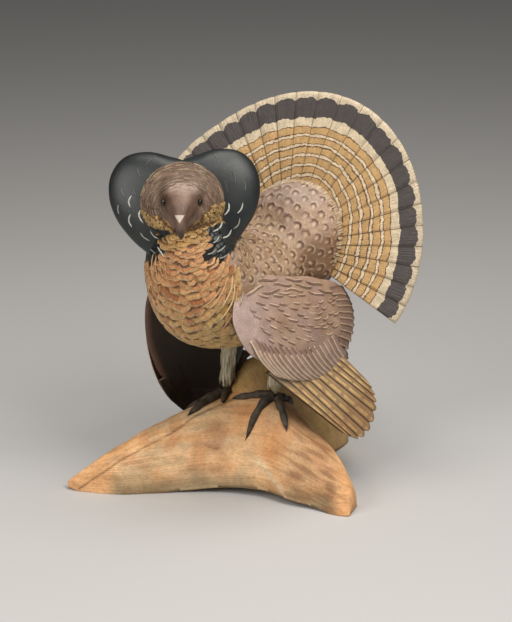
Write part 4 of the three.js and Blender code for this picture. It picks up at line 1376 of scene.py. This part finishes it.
# The tail fan


def on_feathers(share, count):
    """Places along a row of feathers: counted in feathers, and how far across each one."""
    f = np.clip(share * count, 0, count - 1e-4)
    return f, f - np.floor(f)


def feather_steps(across, left):
    """How a feather's face rises from its tucked edge to its free edge."""
    flank = 0.06
    a = np.where(left, 1 - across, across)
    return np.where(a < 1 - flank, a, (1 - a) / flank * (1 - flank))


def make_tail():
    bm = sheet(TAIL_FEATHERS * FEATHER_COLUMNS, 44)
    p = spots(bm)
    f, across = on_feathers(p[:, 0], TAIL_FEATHERS)
    left = f < TAIL_FEATHERS / 2
    away = (1 - 2 * p[:, 0]) * TAIL_SPREAD
    row = p[:, 1]
    reach = 133 + 23 * bell(away, 42 * DEGREE)
    reach = reach + 5 * smoothstep(away / TAIL_SPREAD, 0.6, 0.9)
    reach = reach - 0.5 * (2 * across - 1) ** 4
    radius = TAIL_HUB + (reach - TAIL_HUB) * row
    thin, bevel = 3.6, 0.97
    rounded = thin - (row - bevel) / (1 - bevel) * thin / 2
    thick = np.where(row > bevel, rounded, 9 + (thin - 9) * row)
    lift = 1.3 * feather_steps(across, left) * smoothstep(row, 0, 0.4)
    camber = 0.5 * (1 - (2 * across - 1) ** 2)
    dish = 7 * (away / TAIL_SPREAD) ** 2 * row
    ripple = 0.25 * waver(on_fan(radius, TAIL_AXIS + away, 0 * row), 7, 3.0)
    out = p[:, 2] * thick / 2 + lift + dish + (camber + ripple) * (p[:, 2] > 0)
    places = on_fan(radius, TAIL_AXIS + away, out)
    # Over the top of the fan the outer bands are a tenth wider and the inner ones closer.
    wide = 1 + 0.12 * bell(away - 18 * DEGREE, 42 * DEGREE)
    depth = reach - radius
    inner = TAIL_EDGE + (depth - TAIL_EDGE * wide) / (2 - wide) ** 0.9
    band = np.where(depth < TAIL_EDGE * wide, depth / wide, inner)
    quill = np.stack([f, band, radius], axis=1)
    mesh = mesh_of("tail_feathers", bm, places)
    piece(mesh, TAIL, "tail_paint", "tail_fan", quill=quill)


def make_fringe():
    """Short cream strokes round the covert dome, where it meets the tail."""
    rng = np.random.default_rng(29)
    count = 120
    turn = np.linspace(-82, 82, count) * DEGREE + rng.uniform(-0.02, 0.02, count)
    steps = np.linspace(0, 1, 5)[None]
    start = rng.uniform(0.945, 0.965, count)[:, None]
    reach = start + rng.uniform(0.025, 0.055, count)[:, None] * steps
    along, aside = reach * np.cos(turn)[:, None], reach * np.sin(turn)[:, None]
    radius = np.hypot(COVERT_LENGTH * along, COVERT_WIDTH * aside)
    away = np.arctan2(COVERT_WIDTH * aside, COVERT_LENGTH * along)
    on_dome = COVERT_FRONT * np.sqrt(np.maximum(1 - np.minimum(reach, 1) ** 2.35, 0)) + 0.3
    on_tail = 5.6 + 2.8 * (away / TAIL_SPREAD) ** 2
    paths = on_fan(radius, TAIL_AXIS + away, np.maximum(on_dome, on_tail))
    outwards = on_fan(radius[:, 2], TAIL_AXIS + away[:, 2], np.zeros(count)) - TAIL_ROOT
    normals = unit(outwards) + FAN_OUT
    coat = tint("#b59c80", "#ddccae", rng.random(count))
    strokes("covert_fringe", paths, normals, 1.5, 0.5, coat, **ON_BODY)


# The wings


def shield_out(y, z):
    along = (y - WING_MIDDLE[0]) / 85
    rise = z - WING_MIDDLE[1]
    return WING_OUT - 14 * (along**2 + (rise / 54) ** 2) - 0.22 * rise


def far_side(p):
    """Turns a place on the left wing into its place on the right one."""
    p = np.array(p, float)
    low = smoothstep(200 - p[..., 2], 0, 75)
    tip = smoothstep(p[..., 1], 15, 90)
    p[..., 2] -= 56 * low * (1 - 0.6 * tip)
    p[..., 1] += 8
    p[..., 0] *= -1
    return p


def same_side(p):
    return p


def shield_reach(turn):
    return look_up(SHIELD_OUTLINE, np.mod(np.degrees(turn), 360))


def make_shield(wing, put):
    bm = ball(120, 60)
    t, turn, ring = ball_coordinates(bm)
    reach = shield_reach(turn) * ring**0.7
    y = WING_MIDDLE[0] + reach * np.cos(turn)
    z = WING_MIDDLE[1] + reach * np.sin(turn)
    deep = np.sqrt(1 - np.minimum(1, ring**1.4) ** 2)
    outer = t < 0.5
    inward = 2.5 + (np.where(outer, 0, 13) - 2.5) * deep
    x = shield_out(y, z) - inward
    p = np.stack([x, y, z], axis=1)
    x += np.where(outer, 0.7 * waver(p, 13, 7.0) * deep, 0)
    p[:, 0] = x
    cloud = waver(p, 20, 8.0)
    border = smoothstep(ring, 0.9, 0.97) * smoothstep(172 - z, 0, 20)
    coat = layers(
        tint("#9b7d66", "#b1947f", 0.5 + 0.8 * cloud),
        ("#a08583", 0.45 * smoothstep(waver(p, 26, 3.0), 0.0, 0.4)),
        ("#7d6150", smoothstep(-(z - 175), 20, 50) * 0.6),
        # Paler toward the front: a painted sheen on the shoulder.
        ("#b5a09a", 0.6 * smoothstep(-y, 48, 85)),
        ("#735747", 0.7 * smoothstep(y, 45, 68)),
        ("#644b3d", 0.85 * border),
    )
    # The inner face is painted near-black as painted shade, browner toward its rim.
    dark = tint("#1f180d", "#35281a", 0.5 + cloud)
    dark = blend(dark, linear("#5a4034"), smoothstep(ring, 0.86, 0.97))
    coat = blend(coat, dark, ~outer)
    piece(mesh_of(wing + "_coverts", bm, put(p)), PAINT, "wing_paint", wing, coat=coat)


def past_shield(y, z):
    """How far places lie outside the shield's outline; less than 0 is inside it."""
    along, rise = y - WING_MIDDLE[0], z - WING_MIDDLE[1]
    return np.hypot(along, rise) - shield_reach(np.arctan2(rise, along))


def wing_flow(y, z):
    """Direction of the covert feathers on the plane of y and z."""
    turn = -20 - 20 * smoothstep(-y, 20, 75) + 18 * smoothstep(y, -15, 15)
    turn = turn + 10 * smoothstep(z, 195, 215) - 10 * smoothstep(190 - z, 0, 40)
    return np.cos(turn * DEGREE), np.sin(turn * DEGREE)


# Where the coverts end and the secondaries start, and the shield's top edge: rows of y and z.
COVERT_EDGE = [[-91, 188], [-80, 179], [-62, 171], [-36, 164], [-4, 159], [24, 160], [60, 164]]
TOP_EDGE = [[-85, 212], [-68, 228], [-46, 231], [-20, 228], [10, 219], [40, 206]]


def on_shield(y, z, lift):
    return np.stack([shield_out(y, z) + lift, y, z], axis=-1)


def shield_normals(y, z):
    """The directions that the shield's outer face looks in."""
    step = 0.5
    rise_y = shield_out(y + step, z) - shield_out(y - step, z)
    rise_z = shield_out(y, z + step) - shield_out(y, z - step)
    return unit(np.stack([np.ones_like(y), -rise_y, -rise_z], axis=-1))


def make_wing_strokes(wing, put):
    """Short raised pale strokes over the coverts, long wavy ones along their top edge, each with a
    painted shadow stroke beneath it.
    """
    rng = np.random.default_rng(31)
    y, z = [], []
    for k, height in enumerate(np.arange(150, 226, 5.0)):
        for start in np.arange(-100, 80, 15.5):
            y.append(start + 7.8 * (k % 2) + rng.uniform(-3, 3) + 0.3 * (height - 175))
            z.append(height + rng.uniform(-1.4, 1.4) - 0.16 * (start + 10))
    y, z = np.array(y), np.array(z)
    keep = (past_shield(y, z) < -7) & (z > look_up(COVERT_EDGE, y) + 3) & (y > -76) & (y < 40)
    keep &= z < look_up(TOP_EDGE, y) - 15
    y, z = y[keep], z[keep]
    fy, fz = wing_flow(y, z)
    steps = np.linspace(-0.5, 0.5, 6)[None]
    reach = rng.uniform(8.5, 15, len(y))[:, None] * (0.75 + 0.25 * smoothstep(y, -60, -20))[:, None]
    sag = (0.4 + 1.6 * smoothstep(y, -5, 20) + rng.uniform(-0.3, 0.3, len(y)))[:, None]
    curve = sag * (4 * steps**2 - 1)
    paths = np.stack(
        [
            y[:, None] + fy[:, None] * steps * reach - fz[:, None] * curve,
            z[:, None] + fz[:, None] * steps * reach + fy[:, None] * curve,
        ],
        axis=-1,
    )
    top = []
    for tier in range(3):
        for start in np.arange(-80, 12, 29.0):
            first = start + 12 * tier + rng.uniform(-3, 3)
            line = first + steps[0] * 24 + 12
            wave = 1.1 * np.sin((steps[0] + 0.5) * 6 + rng.uniform(0, 6))
            top.append(np.stack([line, look_up(TOP_EDGE, line) - 3 - 5 * tier + wave], axis=-1))
    paths = np.concatenate([paths, np.array(top)])
    mirror = (1.0 if put is same_side else -1.0, 1.0, 1.0)
    normals = shield_normals(paths[:, 3, 0], paths[:, 3, 1]) * mirror
    chance = rng.random(len(paths))
    light = tint("#ae917c", "#dcc2a8", chance**1.3)
    shade = tint("#816656", "#8c7161", chance)
    faint = smoothstep(-paths[:, 2, 0], 56, 76)
    light = blend(light, linear("#bda79c"), 0.7 * faint)
    shade = blend(shade, linear("#a8938a"), faint)
    where = {"material": PAINT, "slot": "wing_paint", "node": wing}
    above = put(on_shield(paths[..., 0], paths[..., 1], 0.3))
    beneath = put(on_shield(paths[..., 0] - 0.3, paths[..., 1] - 1.3, 0.05))
    width = rng.uniform(1.0, 1.5, len(paths))
    strokes(wing + "_barbs", above, normals, width, 0.5, light, **where)
    strokes(wing + "_barb_shadows", beneath, normals, 1.3, 0.2, shade, **where)


# Rows of carved vanes on the wing: each row gives one of four places along the vanes, for
# vanes spread evenly from the first column to the last.
SECONDARY_LINES = [
    [(-82, 183), (-63, 172), (-35, 164), (-4, 160), (27, 162)],
    [(-77, 168), (-56, 158), (-25, 150), (6, 146), (34, 150)],
    [(-67, 155), (-43, 144), (-11, 136), (22, 132), (46, 138)],
    [(-50, 139), (-24, 129), (12, 121), (46, 117), (65, 125)],
]
RIM_LINES = [
    [(38, 202), (42, 190), (43, 178), (42, 166), (36, 154)],
    [(48, 201), (52, 188), (53, 175), (52, 162), (44, 149)],
    [(56, 199), (61, 186), (63, 172), (61, 158), (52, 145)],
    [(62, 196), (69, 183), (71, 168), (68, 153), (58, 139)],
]


def make_vanes(wing, put, kind, lines, count, width, low, high, edge):
    """Long overlapping feathers whose lower edges stand free."""
    rng = np.random.default_rng(count)
    share = np.linspace(0.05, 1, count)
    lines = np.stack([through(row, share) for row in lines])
    bm = flock(sheet(8, 14), count)
    p = spots(bm).reshape(count, -1, 3)
    u, v, side = 2 * p[..., 0] - 1, p[..., 1], p[..., 2]
    spine, after, before = (
        np.stack([through(lines[:, k], v[k] + more) for k in range(count)])
        for more in (0, 0.02, -0.02)
    )
    ahead = unit(after - before)
    tipped = np.sqrt(np.maximum(1 - np.maximum((v - 0.82) / 0.18, 0) ** 2.2, 0.02))
    half = u * width / 2 * tipped * (0.8 + 0.2 * v)
    y = spine[..., 0] + ahead[..., 1] * half
    z = spine[..., 1] - ahead[..., 0] * half
    rise = 0.5 + 0.75 * (u + 1) * (0.5 + 0.5 * v) - 1.4 * smoothstep(1 - v, 0.75, 1.0)
    rim = smoothstep(past_shield(y, z), -4, 4)
    x = shield_out(y, z) + rise - 1.7 * rim + np.where(side > 0, 0.4, -1.1)
    coat = tint(low, high, rng.random(count))
    coat = layers(
        np.broadcast_to(coat[:, None], (*u.shape, 4)),
        (edge, 0.95 * smoothstep(u, 0.55, 0.85) * (side > 0)),
        # Painted shade on each vane's tucked side, under its neighbour's free edge; darker too
        # where the vanes pass the shield's rim.
        ("#644a3b", 0.75 * smoothstep(-u, 0.2, 0.9) + 0.45 * rim * (u < 0.6)),
        ("#553c31", 0.8 * smoothstep(v, 0.9, 0.96)),
        # The back faces are painted near-black: painted shade.
        ("#4a352b", side < 0),
    )
    mesh = mesh_of(wing + kind, bm, put(np.stack([x, y, z], axis=-1)))
    piece(mesh, PAINT, "wing_paint", wing, coat=coat)


def make_primaries(wing, put):
    bm = sheet(PRIMARIES * FEATHER_COLUMNS, 40)
    p = spots(bm)
    f, across = on_feathers(p[:, 0], PRIMARIES)
    bases, tips = through(PRIMARY_BASES, p[:, 0]), through(PRIMARY_TIPS, p[:, 0])
    row = p[:, 1] * (1 - 0.03 * (2 * across - 1) ** 2)
    yz = bases + (tips - bases) * row[:, None]
    length = np.linalg.norm(tips - bases, axis=1)
    thick = PRIMARY_ROOT + (PRIMARY_TIP - PRIMARY_ROOT) * row
    half = thick / 2 * (1 - 0.5 * smoothstep(p[:, 1], 0.93, 1))
    step = feather_steps(across, np.ones(len(f), bool))
    out = 71 + 0.11 * (WING_MIDDLE[1] - yz[:, 1])
    x = out + p[:, 2] * half + 1.6 * step + 0.3 * (1 - (2 * across - 1) ** 2)
    places = np.stack([x, yz[:, 0], yz[:, 1]], axis=1)
    inside = (p[:, 2] < 0).astype(float)
    quill = np.stack([f, row * length, inside], axis=1)
    # The near-black coat, used on the inner faces, is painted shade.
    cloud = waver(places, 12, 2.0)
    coat = tint("#1d1710", "#33271b", 0.5 + cloud)
    mesh = mesh_of(wing + "_primaries", bm, put(places))
    piece(mesh, FLIGHT, "wing_paint", wing, quill=quill, coat=coat)


def make_wings():
    for wing, put in (("left_wing", same_side), ("right_wing", far_side)):
        make_shield(wing, put)
        make_primaries(wing, put)
        tones = ("#947766", "#a4877a", "#e0c6ac")
        make_vanes(wing, put, "_secondaries", SECONDARY_LINES, 17, 9.0, *tones)
        tones = ("#7d6151", "#8b6f5e", "#c2a48a")
        make_vanes(wing, put, "_rim_vanes", RIM_LINES, 9, 8.5, *tones)
        make_wing_strokes(wing, put)


# The legs and the eyes


def height_on(surface, x, y):
    hit = surface.ray_cast(Vector((x, y, 500)), Vector((0, 0, -1)))
    return hit[0].z if hit[0] else 0.0


def shank_girth(t):
    """How thick a shank is, with a swelling just over the foot; t runs from foot to top."""
    return 6.5 + 2.5 * smoothstep(t, 0.1, 1) + 1.2 * bell(t - 0.12, 0.08)


def make_shank(side, surface):
    ax, ay = LEGS[side]["ankle"]
    foot = np.array([ax, ay, height_on(surface, ax, ay) + 3.2])
    top = np.array(LEGS[side]["top"], float)
    bm = ball(32, 40)
    t, turn, ring = ball_coordinates(bm)
    radius = shank_girth(t) * np.minimum(1, 2 * ring)
    streak = np.stack([turn * 3.2, t * 2.0, 0 * t + 5], axis=1)
    radius = radius + 0.7 * waver(streak, 1.0, 1.5) * smoothstep(ring, 0.3, 0.8)
    p = foot + (top - foot) * t[:, None]
    p = p + np.stack([radius * np.cos(turn), radius * np.sin(turn), 0 * t], axis=1)
    tone = 0.5 + 0.9 * waver(streak, 0.6, 4.0)
    coat = tint("#8d8266", "#cbc3ab", tone)
    coat = blend(coat, linear("#8a6f45"), 0.5 * (1 - smoothstep(t, 0.05, 0.3)))
    piece(mesh_of(side + "_shank", bm, p), coat=coat, **ON_LEG[side])

    # Slim feathers down the shank.
    rng = np.random.default_rng(int(ax) + 50)
    count = 60
    turn = rng.uniform(0, 2 * math.pi, count)[:, None]
    share = rng.uniform(0.05, 0.8, count)[:, None] + np.linspace(0, 0.16, 5)[None]
    away = np.stack([np.cos(turn), np.sin(turn), 0 * turn], axis=-1)
    spine = foot + (top - foot) * share[..., None] + away * (shank_girth(share) + 0.2)[..., None]
    coat = tint("#8a8068", "#d8cfb6", rng.random(count))
    strokes(side + "_shank_strokes", spine, away[:, 0], 1.5, 0.5, coat, **ON_LEG[side])


def make_toes(side, surface):
    toes = LEGS[side]["toes"]
    ax, ay = LEGS[side]["ankle"]
    bm = flock(ball(14, 34), len(toes))
    shapes = (values.reshape(len(toes), -1) for values in ball_coordinates(bm))
    places, coats = [], []
    for ((tx, ty), size), t, turn, ring in zip(toes, *shapes):
        line = []
        for k in range(13):
            share = k / 12 * 1.07
            x, y = ax + tx * share, ay + ty * share
            lift = (size + (2.2 - size) * share) * 0.78
            line.append([x, y, height_on(surface, x, y) + lift])
        line = np.array(line)
        line[:, 2] = np.convolve(np.pad(line[:, 2], 1, mode="edge"), [0.25, 0.5, 0.25], "valid")
        middle = through(line, t)
        after, before = np.minimum(t + 0.02, 1), np.maximum(t - 0.02, 0)
        tangent = unit(through(line, after) - through(line, before))
        aside = unit(np.cross(tangent, UP))
        over = np.cross(aside, tangent)
        girth = size + (2.2 - size) * t**1.4
        knuckle = 1 + 0.13 * np.cos((t - 0.08) * 2 * math.pi * 3.2) * (t < 0.86)
        scutes = 0.22 * np.abs(np.sin(t * 2 * math.pi * 9)) * (np.sin(turn) > 0) * (t < 0.84)
        claw = 1 - 0.55 * np.maximum(t - 0.86, 0) / 0.14
        radius = (girth * knuckle * claw + scutes) * np.minimum(1, 2.2 * ring)
        sides = (aside, radius * np.cos(turn)), (over, radius * np.sin(turn))
        places.append(placed(middle, *sides))
        # Toe tops painted lighter and undersides darker: painted light and shade, over random tone
        # and dark scutes.
        tone = 0.5 + 0.8 * waver(middle, 5, 2.0) + 0.4 * np.sin(turn) - 2 * scutes
        coat = tint("#2c251d", "#564b3c", tone)
        coats.append(blend(coat, linear("#191512"), smoothstep(t, 0.84, 0.9)))
    mesh = mesh_of(side + "_toes", bm, np.array(places))
    piece(mesh, coat=np.array(coats), **ON_LEG[side])


def make_eyes():
    ahead, up, aside = EYE_PLACE
    for side, name in ((1, "left_eye"), (-1, "right_eye")):
        bm = ball(28, 20)
        places = on_head(ahead, up, aside * side) + spots(bm) * EYE_RADIUS
        piece(mesh_of(name + "_glass", bm, places), EYE, "eye_gloss", name)


# Light, floor and camera


def make_stage():
    bm = bmesh.new()
    bmesh.ops.create_grid(bm, x_segments=2, y_segments=2, size=9)
    mesh = bpy.data.meshes.new("floor")
    bm.to_mesh(mesh)
    bm.free()
    floor = bpy.data.objects.new("floor", mesh)
    finish, _, shader, _ = finish_of("plain_floor", 0.85)
    shader.inputs["Base Color"].default_value = linear("#c4c3c3")
    mesh.materials.append(finish)
    bpy.context.scene.collection.objects.link(floor)

    lens = bpy.data.cameras.new("camera")
    lens.lens = lens.sensor_width * CAMERA_FAR / CAMERA_SPAN
    camera = bpy.data.objects.new("camera", lens)
    turned = Matrix((ASIDE, VIEW_UP, VIEW)).transposed().to_4x4()
    turned.translation = Vector((CAMERA_PLACE + PLACE) * MM)
    camera.matrix_world = turned
    bpy.context.scene.collection.objects.link(camera)
    bpy.context.scene.camera = camera

    world = bpy.data.worlds.new("studio")
    world.use_nodes = True
    sky = world.node_tree.nodes["Background"]
    sky.inputs["Color"].default_value = (1.0, 0.98, 0.95, 1.0)
    sky.inputs["Strength"].default_value = 0.08
    bpy.context.scene.world = world
    for name, place, size, power in (
        ("key", ASIDE * 0.75 + VIEW * 1.0 + UP * 1.2, 0.9, 21.5),
        ("fill", ASIDE * -1.1 + VIEW * 1.2 + UP * 0.6, 1.1, 16),
        ("top", VIEW * 0.1 + ASIDE * 0.1 + UP * 1.6, 0.9, 12),
    ):
        lamp = bpy.data.lights.new(name, "AREA")
        lamp.size = size
        lamp.energy = power
        lamp.color = (1.0, 0.965, 0.905)
        made = bpy.data.objects.new(name, lamp)
        made.location = place
        toward = Vector(place) - Vector((0, 0, 0.2))
        made.rotation_euler = toward.to_track_quat("Z", "Y").to_euler()
        bpy.context.scene.collection.objects.link(made)
    bpy.context.scene.view_settings.view_transform = "Standard"


surface = make_driftwood()
skin = make_body()
black_feathers = make_breast()
make_side_feathers()
make_hood(skin)
make_eye_lids()
collar = make_ruff()
make_crescents([skin, black_feathers, collar])
make_tail()
make_fringe()
make_wings()
for side in LEGS:
    make_shank(side, surface)
    make_toes(side, surface)
make_eyes()
make_stage()
